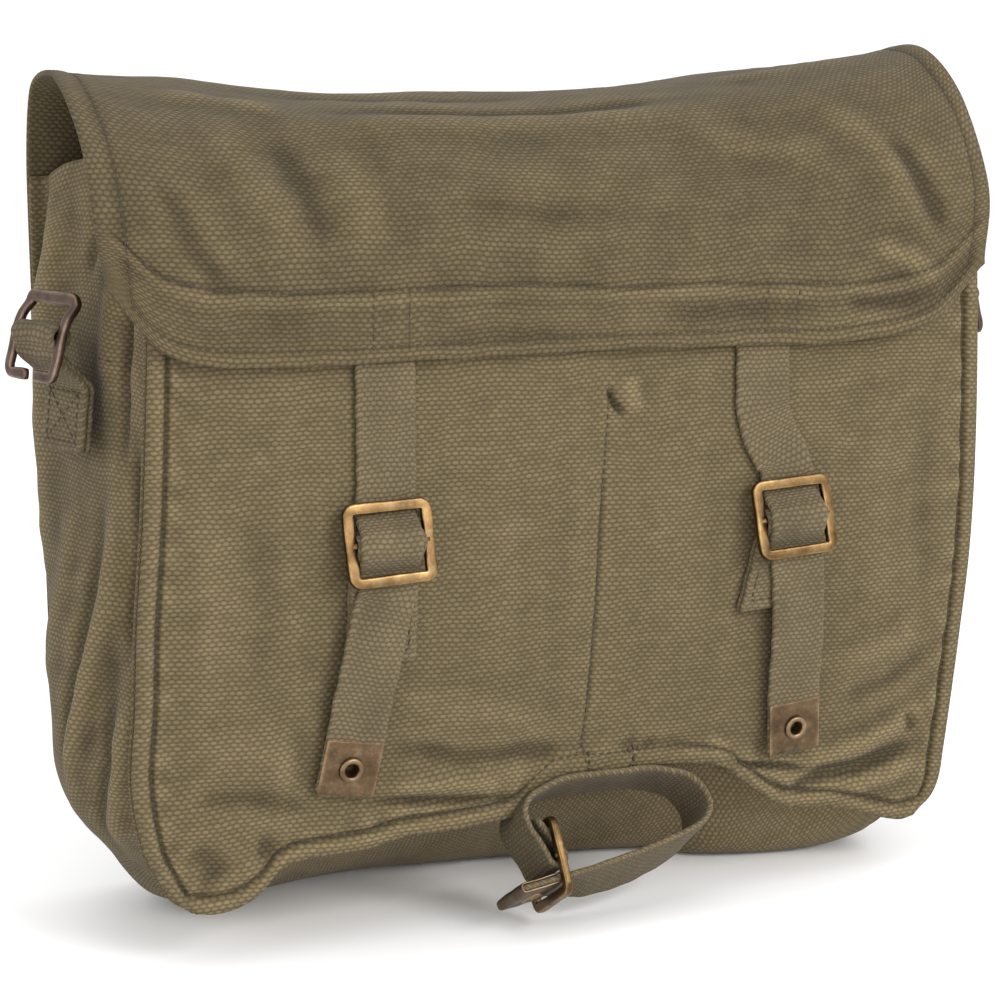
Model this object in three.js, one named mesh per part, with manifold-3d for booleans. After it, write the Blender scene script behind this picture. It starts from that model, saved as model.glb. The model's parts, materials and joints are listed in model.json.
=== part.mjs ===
// Canvas haversack: a boxed bag with a flap that closes over the front on two buckled webbing straps,
// a webbing carrying loop buckled under the front seam, and a brass hook on a webbing tab at each side.
// Millimetres, +Z up. X runs across the bag, the front faces -Y. The origin is on the floor, on the line
// where the filled bag rests.

import * as THREE from 'three';
import { mergeVertices } from 'three/addons/utils/BufferGeometryUtils.js';
import Module from 'manifold-3d';

const wasm = await Module();
wasm.setup();

// Driving dimensions
const bagWidth = 316;
const bagDepth = 104;
const bodyHeight = 268;
const restLine = 0.81;
const canvasWall = 2;
const pieceGap = 0.3;
const seamFlange = 5;
const frontFullness = 5;
const sideFullness = 16;
const webbingWidth = 22;
const webbingWall = 2.2;
const strapPlay = 1.55;
const buckleHeight = 28;
const buckleBar = 3.2;
const buckleWall = 3;
const centreBar = 3;
const tipLength = 19;
const tipWall = 0.7;
const loopTipLength = 15;
const tipOverhang = 0.6;
const eyeletBore = 2.4;
const eyeletRim = 4.4;
const tabSewnLength = 20;
const hookHeight = 25.6;
const hookBar = 2.6;
const hookPinRadius = 1.6;
const hookSideGap = 0.5;
const hookOpening = 6.4;

const buckleWidth = webbingWidth + 2 * (strapPlay + buckleBar);
const halfWidth = bagWidth / 2;
const frontY = -bagDepth * restLine;
const backY = frontY + bagDepth;

// Smooth curve through the named column of a table, at a value of its key column
function column(rows, key, name) {
  const slope = (i) => {
    const a = rows[Math.max(i - 1, 0)];
    const b = rows[Math.min(i + 1, rows.length - 1)];
    return (b[name] - a[name]) / (b[key] - a[key]);
  };
  return (value) => {
    let i = 0;
    while (i < rows.length - 2 && value > rows[i + 1][key]) i += 1;
    const span = rows[i + 1][key] - rows[i][key];
    const t = Math.min(Math.max((value - rows[i][key]) / span, 0), 1);
    const rise = t * t * (3 - 2 * t);
    const start = rows[i][name] * (1 - rise) + rows[i + 1][name] * rise;
    return start + span * (t * (1 - t) * (1 - t) * slope(i) - t * t * (1 - t) * slope(i + 1));
  };
}

const mix = (a, b, t) => a + (b - a) * t;

function smoothStep(low, high, value) {
  const t = Math.min(Math.max((value - low) / (high - low), 0), 1);
  return t * t * (3 - 2 * t);
}

// Front panel. Its side seams by share of the panel's height, as shares of the half width
const frontSides = [
  { up: 0.00, left: -0.850, right: 0.875 },
  { up: 0.02, left: -0.895, right: 0.915 },
  { up: 0.05, left: -0.930, right: 0.938 },
  { up: 0.10, left: -0.964, right: 0.945 },
  { up: 0.20, left: -1.006, right: 0.958 },
  { up: 0.30, left: -1.017, right: 0.976 },
  { up: 0.43, left: -1.004, right: 0.996 },
  { up: 0.58, left: -0.985, right: 1.004 },
  { up: 0.78, left: -0.950, right: 1.000 },
  { up: 1.00, left: -0.930, right: 0.985 },
];

// Height of the front panel's bottom seam above the floor, drawn up where the carrying loop is sewn on
const frontBottom = [
  { across: -0.88, up: 0.066 },
  { across: -0.80, up: 0.072 },
  { across: -0.72, up: 0.108 },
  { across: -0.60, up: 0.135 },
  { across: -0.40, up: 0.150 },
  { across: -0.20, up: 0.152 },
  { across: -0.15, up: 0.178 },
  { across: -0.08, up: 0.192 },
  { across: 0.12, up: 0.192 },
  { across: 0.20, up: 0.186 },
  { across: 0.28, up: 0.174 },
  { across: 0.43, up: 0.135 },
  { across: 0.54, up: 0.106 },
  { across: 0.69, up: 0.091 },
  { across: 0.84, up: 0.063 },
  { across: 0.90, up: 0.070 },
];
const frontTop = 0.92;

// Creases and rolls of the front panel: middle, half length, half width and height of each
const frontFolds = [
  { across: -0.24, up: 0.195, turn: 0.05, length: 0.20, width: 0.022, rise: -0.8 },
  { across: -0.36, up: 0.240, turn: -0.35, length: 0.24, width: 0.045, rise: 0.6 },
  { across: 0.46, up: 0.190, turn: -0.05, length: 0.24, width: 0.022, rise: -0.9 },
  { across: 0.83, up: 0.220, turn: 0.65, length: 0.16, width: 0.025, rise: -0.7 },
  { across: 0.02, up: 0.450, turn: 1.57, length: 0.60, width: 0.020, rise: -0.25 },
];

const leftSide = column(frontSides, 'up', 'left');
const rightSide = column(frontSides, 'up', 'right');
const bottomSeam = column(frontBottom, 'across', 'up');

function foldRelief(folds, across, up) {
  let relief = 0;
  for (const fold of folds) {
    const dx = (across - fold.across) * halfWidth;
    const dz = (up - fold.up) * bodyHeight;
    const along = (dx * Math.cos(fold.turn) + dz * Math.sin(fold.turn)) / (fold.length * halfWidth);
    const beside = (dz * Math.cos(fold.turn) - dx * Math.sin(fold.turn)) / (fold.width * bodyHeight);
    relief += fold.rise * Math.exp(-along * along - beside * beside);
  }
  return relief;
}

// across runs -1 to 1 between the side seams, up runs 0 to 1 from the bottom seam to the mouth
function frontPoint(across, up) {
  const share = mix(leftSide(up), rightSide(up), (across + 1) / 2);
  const low = bottomSeam(share);
  const height = mix(low, frontTop, up);
  return new THREE.Vector3(share * halfWidth, frontPlane(share, height), height * bodyHeight);
}

// The front's outer surface at a place given as shares of the half width and the body height
function frontPlane(share, height) {
  const up = (height - bottomSeam(share)) / (frontTop - bottomSeam(share));
  const across = 2 * (share - leftSide(up)) / (rightSide(up) - leftSide(up)) - 1;
  const edge = Math.max(1 - across * across, 0);
  const seamEase = smoothStep(0.02, 0.2, edge) * smoothStep(0.01, 0.1, up);
  const fill = Math.pow(edge, 0.7) * smoothStep(0, 0.35, up) * (1 - 0.45 * up * up);
  const lean = 8 * smoothStep(0.9, 1, up);
  const folds = seamEase * foldRelief(frontFolds, share, height) * 3;
  return frontY - frontFullness * fill - folds + lean;
}

const frontAt = (x, z) => frontPlane(x / halfWidth, z / bodyHeight);

// Back panel and flap, one sheet. Its side edges by share of the way from the bottom to the flap's hem
const sheetSides = [
  { along: 0.00, left: -0.76, right: 0.76 },
  { along: 0.02, left: -0.88, right: 0.88 },
  { along: 0.05, left: -0.96, right: 0.93 },
  { along: 0.10, left: -1.010, right: 0.97 },
  { along: 0.27, left: -1.025, right: 0.99 },
  { along: 0.53, left: -1.045, right: 1.00 },
  { along: 0.63, left: -1.045, right: 1.00 },
  { along: 0.75, left: -1.055, right: 1.01 },
  { along: 0.90, left: -1.070, right: 1.01 },
  { along: 1.00, left: -1.065, right: 0.985 },
];

// Heights of the sheet's sections across the bag, as shares of the body height: the back edge of the top,
// the crest, its front end, the shoulder, the brow where the flap turns down, and the hem
const sheetHeights = [
  { across: -1.00, back: 0.985, crest: 1.095, front: 1.075, shoulder: 1.002, brow: 0.905, hem: 0.845 },
  { across: -0.91, back: 0.985, crest: 1.090, front: 1.062, shoulder: 0.995, brow: 0.905, hem: 0.775 },
  { across: -0.72, back: 0.975, crest: 1.083, front: 1.043, shoulder: 0.985, brow: 0.905, hem: 0.752 },
  { across: -0.35, back: 0.960, crest: 1.056, front: 1.044, shoulder: 0.990, brow: 0.910, hem: 0.750 },
  { across: 0.00, back: 0.960, crest: 1.062, front: 1.040, shoulder: 0.980, brow: 0.900, hem: 0.750 },
  { across: 0.35, back: 0.960, crest: 1.068, front: 1.054, shoulder: 0.985, brow: 0.910, hem: 0.747 },
  { across: 0.62, back: 0.975, crest: 1.090, front: 1.072, shoulder: 1.005, brow: 0.920, hem: 0.744 },
  { across: 0.85, back: 0.985, crest: 1.100, front: 1.096, shoulder: 1.030, brow: 0.940, hem: 0.765 },
  { across: 1.00, back: 0.990, crest: 1.106, front: 1.122, shoulder: 1.062, brow: 0.945, hem: 0.836 },
];

// Their places behind the front seam, as shares of the depth
const sheetInsets = [
  { across: -1.00, frontIn: 0.50, shoulderIn: 0.24, browIn: 0.090, hemIn: -0.010 },
  { across: -0.91, frontIn: 0.40, shoulderIn: 0.11, browIn: -0.030, hemIn: -0.070 },
  { across: -0.72, frontIn: 0.30, shoulderIn: 0.08, browIn: -0.050, hemIn: -0.080 },
  { across: -0.35, frontIn: 0.28, shoulderIn: 0.07, browIn: -0.060, hemIn: -0.080 },
  { across: 0.00, frontIn: 0.28, shoulderIn: 0.06, browIn: -0.060, hemIn: -0.080 },
  { across: 0.35, frontIn: 0.28, shoulderIn: 0.06, browIn: -0.060, hemIn: -0.085 },
  { across: 0.62, frontIn: 0.28, shoulderIn: 0.06, browIn: -0.060, hemIn: -0.090 },
  { across: 0.85, frontIn: 0.34, shoulderIn: 0.06, browIn: -0.055, hemIn: -0.100 },
  { across: 1.00, frontIn: 0.43, shoulderIn: 0.18, browIn: -0.010, hemIn: -0.060 },
];
const backBottom = 0.055;
const mouthAlong = 0.53;

const section = {};
for (const table of [sheetHeights, sheetInsets]) {
  for (const name of Object.keys(table[0])) section[name] = column(table, 'across', name);
}
const sheetLeft = column(sheetSides, 'along', 'left');
const sheetRight = column(sheetSides, 'along', 'right');
const flapClearance = webbingWall + canvasWall + 2 * pieceGap + 0.4;
const flapWrap = 0.975;

function sheetPoint(across, along) {
  const at = (name) => section[name](across);
  const profile = [
    { along: 0.00, inward: 1.00, height: backBottom },
    { along: 0.27, inward: 1.03, height: 0.50 },
    { along: mouthAlong, inward: 1.00, height: at('back') - 0.03 },
    { along: 0.585, inward: 0.93, height: at('crest') - 0.025 },
    { along: 0.63, inward: 0.75, height: at('crest') },
    { along: 0.75, inward: at('frontIn'), height: at('front') },
    { along: 0.83, inward: at('shoulderIn'), height: at('shoulder') },
    { along: 0.90, inward: at('browIn'), height: at('brow') },
    { along: 1.00, inward: at('hemIn'), height: at('hem') },
  ];
  const share = mix(sheetLeft(along), sheetRight(along), (across + 1) / 2);
  const height = column(profile, 'along', 'height')(along);
  let y = frontY + bagDepth * column(profile, 'along', 'inward')(along);
  const above = Math.max(height - frontTop, 0) * bodyHeight;
  const beside = Math.max(Math.abs(share) - flapWrap, 0) * halfWidth;
  const nearest = frontPlane(share, Math.min(height, frontTop)) - flapClearance;
  if (along > 0.8) y = Math.min(y, nearest + 1.2 * above + 3 * beside);
  return new THREE.Vector3(share * halfWidth, y, height * bodyHeight);
}

// Gusset: one strip from the left mouth, under the bag, to the right mouth. Fullness of the sides by
// share of the depth, and where the base meets the floor by share of the half width
const sideBelly = [
  { back: 0.00, out: 0.00 },
  { back: 0.12, out: 0.22 },
  { back: 0.25, out: 0.50 },
  { back: 0.48, out: 0.95 },
  { back: 0.70, out: 0.92 },
  { back: 0.85, out: 0.62 },
  { back: 0.95, out: 0.26 },
  { back: 1.00, out: 0.00 },
];
const floorContact = [
  { across: -1.00, from: 0.70 },
  { across: -0.78, from: 0.60 },
  { across: -0.62, from: 0.78 },
  { across: -0.40, from: 0.86 },
  { across: 0.00, from: 0.74 },
  { across: 0.33, from: 0.60 },
  { across: 0.43, from: 0.42 },
  { across: 0.71, from: 0.29 },
  { across: 1.00, from: 0.40 },
];
const flangeInset = 2 * canvasWall + 1.5 * pieceGap;
const bellyOut = column(sideBelly, 'back', 'out');
const contactFrom = column(floorContact, 'across', 'from');

// way runs 0 to 1 down the left side, 1 to 2 along the bottom and 2 to 3 up the right side
function seamPair(way) {
  if (way < 1 || way > 2) {
    const side = way < 1 ? -1 : 1;
    const up = way < 1 ? 1 - way : way - 2;
    const eased = Math.pow(up, 1.5);
    return [frontPoint(side, eased), sheetPoint(side, eased * mouthAlong)];
  }
  const across = (way - 1.5) * 2;
  return [frontPoint(across, 0), sheetPoint(across, 0)];
}

function outwardAt(way, end) {
  const step = 0.01;
  const before = seamPair(Math.max(way - step, 0))[end];
  const after = seamPair(Math.min(way + step, 3))[end];
  return new THREE.Vector3(after.z - before.z, 0, before.x - after.x).normalize();
}

// back runs 0 to 1 between the seams; below 0 and above 1 lie the two turned flanges
function gussetPoint(way, back) {
  const [frontEdge, backEdge] = seamPair(way);
  const frontOut = outwardAt(way, 0);
  const backOut = outwardAt(way, 1);
  frontEdge.y += flangeInset;
  backEdge.y -= flangeInset;
  const frontRoot = frontEdge.clone().addScaledVector(frontOut, -seamFlange);
  const backRoot = backEdge.clone().addScaledVector(backOut, -seamFlange);
  if (back < 0) return frontEdge;
  if (back > 1) return backEdge;
  const point = frontRoot.clone().lerp(backRoot, back);
  const outward = frontOut.clone().lerp(backOut, back).normalize();
  const sideways = Math.abs(outward.x);
  const mouthEase = 1 - 0.5 * smoothStep(0.25, 0, way) - 0.5 * smoothStep(2.75, 3, way);
  point.addScaledVector(outward, sideFullness * sideways * bellyOut(back) * mouthEase);
  const mouthShare = smoothStep(0.2, 0, way) + smoothStep(2.8, 3, way);
  point.z += 0.045 * bodyHeight * mouthShare * Math.sin(Math.PI * back);
  point.x -= Math.sign(point.x) * 5 * mouthShare * Math.sin(Math.PI * back);
  const underneath = smoothStep(0.35, 0.9, -outward.z);
  const contact = contactFrom(point.x / halfWidth);
  const slope = frontRoot.z * (1 - back / contact);
  const curve = frontRoot.z * (1 - smoothStep(-0.25 * contact, contact, back)) * 1.2;
  const sagged = Math.max(Math.min(slope, curve), 0) + backRoot.z * smoothStep(0.9, 1, back);
  point.z = mix(point.z, sagged, underneath);
  point.z = Math.max(point.z, 0);
  return point;
}

// Closed shell over a grid of outer points, its inner face one wall below along the surface normals
function shell(countA, countB, outerPoint, wall) {
  const outer = [];
  for (let i = 0; i <= countA; i += 1) {
    for (let j = 0; j <= countB; j += 1) outer.push(outerPoint(i, j));
  }
  const index = (i, j) => i * (countB + 1) + j;
  const at = (i, j) => outer[index(Math.min(Math.max(i, 0), countA), Math.min(Math.max(j, 0), countB))];
  const inner = outer.map((point, n) => {
    const i = Math.floor(n / (countB + 1));
    const j = n % (countB + 1);
    const a = at(i + 1, j).clone().sub(at(i - 1, j)).normalize();
    const b = at(i, j + 1).clone().sub(at(i, j - 1)).normalize();
    return point.clone().addScaledVector(a.cross(b).normalize(), -wall);
  });
  const positions = [...outer, ...inner].flatMap((point) => point.toArray());
  const faces = [];
  const quad = (a, b, c, d) => faces.push(a, b, c, a, c, d);
  const under = outer.length;
  for (let i = 0; i < countA; i += 1) {
    for (let j = 0; j < countB; j += 1) {
      const [a, b, c, d] = [index(i, j), index(i + 1, j), index(i + 1, j + 1), index(i, j + 1)];
      quad(a, b, c, d);
      quad(under + a, under + d, under + c, under + b);
    }
  }
  for (let i = 0; i < countA; i += 1) {
    for (const [j, flip] of [[0, false], [countB, true]]) {
      const a = index(i, j);
      const b = index(i + 1, j);
      if (flip) quad(a, b, under + b, under + a);
      else quad(b, a, under + a, under + b);
    }
  }
  for (let j = 0; j < countB; j += 1) {
    for (const [i, flip] of [[0, false], [countA, true]]) {
      const a = index(i, j);
      const b = index(i, j + 1);
      if (flip) quad(b, a, under + a, under + b);
      else quad(a, b, under + b, under + a);
    }
  }
  const geometry = new THREE.BufferGeometry();
  geometry.setAttribute('position', new THREE.Float32BufferAttribute(positions, 3));
  geometry.setIndex(faces);
  return geometry;
}

// Closed strip through stations of four corners each, in order round the section
function strip(stations) {
  const positions = stations.flatMap((corners) => corners.flatMap((point) => point.toArray()));
  const sides = stations[0].length;
  const faces = [];
  for (let i = 0; i < stations.length - 1; i += 1) {
    for (let k = 0; k < sides; k += 1) {
      const a = i * sides + k;
      const b = i * sides + (k + 1) % sides;
      faces.push(a, b, b + sides, a, b + sides, a + sides);
    }
  }
  const last = (stations.length - 1) * sides;
  for (let k = 1; k < sides - 1; k += 1) {
    faces.push(0, k + 1, k, last, last + k, last + k + 1);
  }
  const geometry = new THREE.BufferGeometry();
  geometry.setAttribute('position', new THREE.Float32BufferAttribute(positions, 3));
  geometry.setIndex(faces);
  return geometry;
}

function toSolid(geometry) {
  const bare = geometry.clone();
  for (const name of Object.keys(bare.attributes)) {
    if (name !== 'position') bare.deleteAttribute(name);
  }
  const merged = mergeVertices(bare, 1e-4);
  const mesh = new wasm.Mesh({
    numProp: 3,
    vertProperties: new Float32Array(merged.attributes.position.array),
    triVerts: new Uint32Array(merged.index.array),
  });
  return new wasm.Manifold(mesh);
}

function fromSolid(solid) {
  const mesh = solid.getMesh();
  const geometry = new THREE.BufferGeometry();
  geometry.setAttribute('position', new THREE.Float32BufferAttribute(mesh.vertProperties, 3));
  geometry.setIndex(Array.from(mesh.triVerts));
  return geometry;
}

const canvasCloth = new THREE.MeshStandardMaterial({ color: 0x7d7052, roughness: 0.95, metalness: 0 });
const webbingCloth = new THREE.MeshStandardMaterial({ color: 0x857a5a, roughness: 0.95, metalness: 0 });
const buckleBrass = new THREE.MeshStandardMaterial({ color: 0xa57d4b, roughness: 0.4, metalness: 1 });
const tipBrass = new THREE.MeshStandardMaterial({ color: 0x7d5a41, roughness: 0.5, metalness: 1 });
const hookBrass = new THREE.MeshStandardMaterial({ color: 0x6e554b, roughness: 0.5, metalness: 1 });

const haversack = new THREE.Group();

function addPiece(name, geometry, material, parent = haversack) {
  const mesh = new THREE.Mesh(geometry, material);
  mesh.name = name;
  parent.add(mesh);
  return mesh;
}

// Main sheets
const frontColumns = 24;
const frontRows = 17;
addPiece('front_panel', shell(
  frontColumns,
  frontRows,
  (i, j) => frontPoint(2 * i / frontColumns - 1, Math.pow(j / frontRows, 1.4)),
  canvasWall,
), canvasCloth);

const sheetColumns = 24;
const sheetAlongs = [
  0, 0.012, 0.03, 0.06, 0.1, 0.17, 0.27, 0.38, 0.47, 0.53, 0.56, 0.585, 0.607, 0.63, 0.67, 0.71, 0.75,
  0.78, 0.805, 0.83, 0.855, 0.88, 0.905, 0.935, 0.965, 1,
];

function sheetAcross(j) {
  const share = 2 * j / sheetColumns - 1;
  return share + 0.12 * Math.sin(Math.PI * share);
}

addPiece('back_flap', shell(
  sheetAlongs.length - 1,
  sheetColumns,
  (i, j) => sheetPoint(sheetAcross(j), sheetAlongs[i]),
  canvasWall,
), canvasCloth);

const sideSteps = 14;
const bottomSteps = 22;
const gussetSteps = 2 * sideSteps + bottomSteps;
const gussetBacks = [2, 1, 0.94, 0.87, 0.79, 0.7, 0.6, 0.48, 0.37, 0.25, 0.12, 0.04, 0, -1];

function gussetWay(i) {
  if (i <= sideSteps) return i / sideSteps;
  if (i <= sideSteps + bottomSteps) return 1 + (i - sideSteps) / bottomSteps;
  return 2 + (i - sideSteps - bottomSteps) / sideSteps;
}

addPiece('gusset', shell(
  gussetSteps,
  gussetBacks.length - 1,
  (i, j) => gussetPoint(gussetWay(i), gussetBacks[j]),
  canvasWall,
), canvasCloth);

// Flap straps. Each runs down from under the flap, behind the buckle's top bar, over its centre bar,
// behind its lower bar, and hangs free to its brass tip. The buckle leans out over the chape, which is
// folded round its centre bar and sewn to the front
const strapLevel = pieceGap;
const chapeLevel = 2 * webbingWall + 2 * pieceGap;
const eyeRadius = centreBar / 2 + pieceGap + webbingWall;
const topBarOut = strapLevel + webbingWall + pieceGap + buckleWall / 2;
const lowBarOut = chapeLevel + webbingWall + 3 * pieceGap + buckleWall / 2;
const barOut = (topBarOut + lowBarOut) / 2;
const buckleLean = Math.asin((lowBarOut - topBarOut) / (buckleHeight - buckleBar));
const barLevel = barOut + eyeRadius + pieceGap;

// Middle line of each strap and its buckle, as shares of the half width and the body height
const leftStrap = {
  name: 'left',
  buckle: { across: -0.500, up: 0.526, turn: 0.02 },
  chape: { across: -0.516, up: 0.377 },
  line: [
    { up: 0.209, across: -0.600 },
    { up: 0.276, across: -0.581 },
    { up: 0.366, across: -0.553 },
    { up: 0.440, across: -0.525 },
    { up: 0.474, across: -0.506 },
    { up: 0.492, across: -0.502 },
    { up: 0.526, across: -0.500 },
    { up: 0.570, across: -0.500 },
    { up: 0.817, across: -0.500 },
  ],
};
const rightStrap = {
  name: 'right',
  buckle: { across: 0.475, up: 0.515, turn: 0.05 },
  chape: { across: 0.418, up: 0.396 },
  line: [
    { up: 0.190, across: 0.503 },
    { up: 0.257, across: 0.492 },
    { up: 0.347, across: 0.488 },
    { up: 0.463, across: 0.480 },
    { up: 0.490, across: 0.477 },
    { up: 0.515, across: 0.475 },
    { up: 0.555, across: 0.472 },
    { up: 0.571, across: 0.468 },
    { up: 0.590, across: 0.454 },
    { up: 0.619, across: 0.425 },
    { up: 0.657, across: 0.403 },
    { up: 0.700, across: 0.401 },
    { up: 0.817, across: 0.402 },
  ],
};

// How far a strap has risen to its level over the buckle's bar and over the chape, by its place above
// the buckle's middle as a share of the buckle's height
const threading = [
  { above: 0.380, bar: 0, chape: 0 },
  { above: 0.285, bar: 0.2, chape: 0 },
  { above: 0.207, bar: 0.55, chape: 0 },
  { above: 0.129, bar: 0.88, chape: 0 },
  { above: 0, bar: 1, chape: 0 },
  { above: -0.129, bar: 0.9, chape: 0 },
  { above: -0.229, bar: 0.6, chape: 0.1 },
  { above: -0.321, bar: 0.02, chape: 1 },
  { above: -0.500, bar: 0, chape: 1 },
];
const upperStations = 5;
const lowerStations = 6;

for (const strap of [leftStrap, rightStrap]) {
  const { line, buckle, chape } = strap;
  const across = column(line, 'up', 'across');
  const [bottom, top] = [line[0].up * bodyHeight, line[line.length - 1].up * bodyHeight];
  buckle.x = buckle.across * halfWidth;
  buckle.z = buckle.up * bodyHeight;
  chape.x = chape.across * halfWidth;
  chape.z = chape.up * bodyHeight;
  const around = threading.map((row) => ({ ...row, z: buckle.z + row.above * buckleHeight }));
  const [first, last] = [around[0], around[around.length - 1]];
  const upper = [];
  for (let i = 0; i < upperStations; i += 1) {
    upper.push({ z: mix(top, first.z, i / upperStations), bar: 0, chape: 0 });
  }
  const lower = [];
  const aboveTip = bottom + 1.1 * tipLength;
  for (let i = 1; i <= lowerStations; i += 1) {
    const z = mix(last.z, aboveTip, i / lowerStations);
    lower.push({ z, bar: 0, chape: mix(0.6, 1, smoothStep(aboveTip, chape.z, z)) });
  }
  lower.push({ z: bottom, bar: 0, chape: 0.5 });
  strap.stations = [...upper, ...around, ...lower].map((row) => (
    { ...row, x: across(row.z / bodyHeight) * halfWidth }
  ));
}

// Direction across a strap at a station: square to the strap, but along the bar inside the buckle
function strapAcross(strap, i) {
  const rows = strap.stations;
  const before = rows[Math.max(i - 1, 0)];
  const after = rows[Math.min(i + 1, rows.length - 1)];
  const down = new THREE.Vector3(after.x - before.x, 0, after.z - before.z).normalize();
  const { turn, z } = strap.buckle;
  const across = new THREE.Vector3(Math.cos(turn), 0, Math.sin(turn));
  const away = smoothStep(0.55 * buckleHeight, 0.8 * buckleHeight, Math.abs(rows[i].z - z));
  return across.lerp(new THREE.Vector3(-down.z, 0, down.x), away).normalize();
}

// The front's surface under a strap, its chape and its buckle, as one level across all three
function bedding(strap, z) {
  const { buckle, chape } = strap;
  const low = Math.min(buckle.x, chape.x) - webbingWidth / 2;
  const high = Math.max(buckle.x, chape.x) + webbingWidth / 2;
  const shares = [0, 0.25, 0.5, 0.75, 1];
  const level = (height) => Math.min(...shares.map((t) => frontAt(mix(low, high, t), height)));
  const underBuckle = Math.min(...[-0.5, 0, 0.5].map((t) => level(buckle.z + t * buckleHeight)));
  const near = smoothStep(1.1 * buckleHeight, 0.6 * buckleHeight, Math.abs(z - buckle.z));
  return mix(level(z), underBuckle, near);
}

function strapStations(strap, width, low, high) {
  return strap.stations.map((row, i) => {
    const across = strapAcross(strap, i);
    const surface = bedding(strap, row.z);
    const rise = row.bar * (barLevel - strapLevel) + row.chape * (chapeLevel - strapLevel);
    const corner = (side, depth) => new THREE.Vector3(
      row.x + side * across.x * width / 2,
      surface - strapLevel - rise - depth,
      row.z + side * across.z * width / 2,
    );
    return [corner(-1, low), corner(1, low), corner(1, high), corner(-1, high)];
  });
}

// Frame of the strap's tip, worked out from its last two stations
function tipFrame(strap) {
  const count = strap.stations.length;
  const ends = strapStations(strap, 0, webbingWall / 2, webbingWall / 2).slice(count - 2);
  const [start, end] = ends.map((corners) => corners[0]);
  const down = end.clone().sub(start).normalize();
  const across = strapAcross(strap, count - 1);
  across.addScaledVector(down, -across.dot(down)).normalize();
  const outward = down.clone().cross(across).normalize();
  return { end, basis: new THREE.Matrix4().makeBasis(across, down.clone().negate(), outward) };
}

function discCutter(radius, length) {
  const cylinder = new THREE.CylinderGeometry(radius, radius, length, 16);
  cylinder.rotateX(Math.PI / 2);
  return cylinder;
}

// Folded plate closed over a webbing end, with a riveted eyelet through it. The fold is at y = 0
function tipGeometry(width, length) {
  const slot = webbingWall + 2 * pieceGap;
  const outline = new THREE.Shape();
  const halfOut = slot / 2 + tipWall;
  outline.moveTo(length, slot / 2);
  outline.lineTo(length, halfOut);
  outline.lineTo(-tipWall + 0.6, halfOut);
  outline.lineTo(-tipWall, halfOut - 0.6);
  outline.lineTo(-tipWall, -halfOut + 0.6);
  outline.lineTo(-tipWall + 0.6, -halfOut);
  outline.lineTo(length, -halfOut);
  outline.lineTo(length, -slot / 2);
  outline.lineTo(0, -slot / 2);
  outline.lineTo(0, slot / 2);
  const plate = new THREE.ExtrudeGeometry(outline, { depth: width, bevelEnabled: false });
  plate.applyMatrix4(new THREE.Matrix4().makeBasis(
    new THREE.Vector3(0, 1, 0),
    new THREE.Vector3(0, 0, 1),
    new THREE.Vector3(1, 0, 0),
  ).setPosition(-width / 2, 0, 0));
  const reach = 2 * halfOut + 1.2;
  const barrel = toSolid(discCutter(eyeletBore + 0.6, reach));
  const rims = [1, -1].map((side) => {
    const rim = discCutter(eyeletRim, 0.8);
    rim.translate(0, 0, side * (reach / 2 - 0.4));
    return toSolid(rim);
  });
  const bore = toSolid(discCutter(eyeletBore, reach + 2));
  const place = [0, length * 0.5, 0];
  const eyelet = rims[0].add(rims[1]).add(barrel).subtract(bore).translate(place);
  return fromSolid(toSolid(plate).subtract(bore.translate(place)).add(eyelet));
}

function tipCutter(length) {
  const hole = discCutter(eyeletBore + 0.6 + pieceGap, 3 * webbingWall);
  hole.translate(0, length * 0.5, 0);
  return hole;
}

function roundedRectangle(width, height, radius) {
  const path = new THREE.Shape();
  const [x, y] = [width / 2, height / 2];
  path.moveTo(-x + radius, -y);
  path.lineTo(x - radius, -y);
  path.quadraticCurveTo(x, -y, x, -y + radius);
  path.lineTo(x, y - radius);
  path.quadraticCurveTo(x, y, x - radius, y);
  path.lineTo(-x + radius, y);
  path.quadraticCurveTo(-x, y, -x, y - radius);
  path.lineTo(-x, -y + radius);
  path.quadraticCurveTo(-x, -y, -x + radius, -y);
  return path;
}

// Flat cast frame with a round centre bar that the chape is folded over
function buckleGeometry() {
  const outline = roundedRectangle(buckleWidth, buckleHeight, 3);
  outline.holes.push(roundedRectangle(buckleWidth - 2 * buckleBar, buckleHeight - 2 * buckleBar, 1));
  const frame = new THREE.ExtrudeGeometry(outline, {
    depth: buckleWall - 1,
    curveSegments: 3,
    bevelThickness: 0.5,
    bevelSize: 0.5,
    bevelOffset: -0.5,
    bevelSegments: 1,
  });
  frame.translate(0, 0, (1 - buckleWall) / 2);
  const bar = new THREE.CylinderGeometry(centreBar / 2, centreBar / 2, buckleWidth - buckleBar, 10);
  bar.rotateZ(Math.PI / 2);
  return fromSolid(toSolid(frame).add(toSolid(bar)));
}

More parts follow.
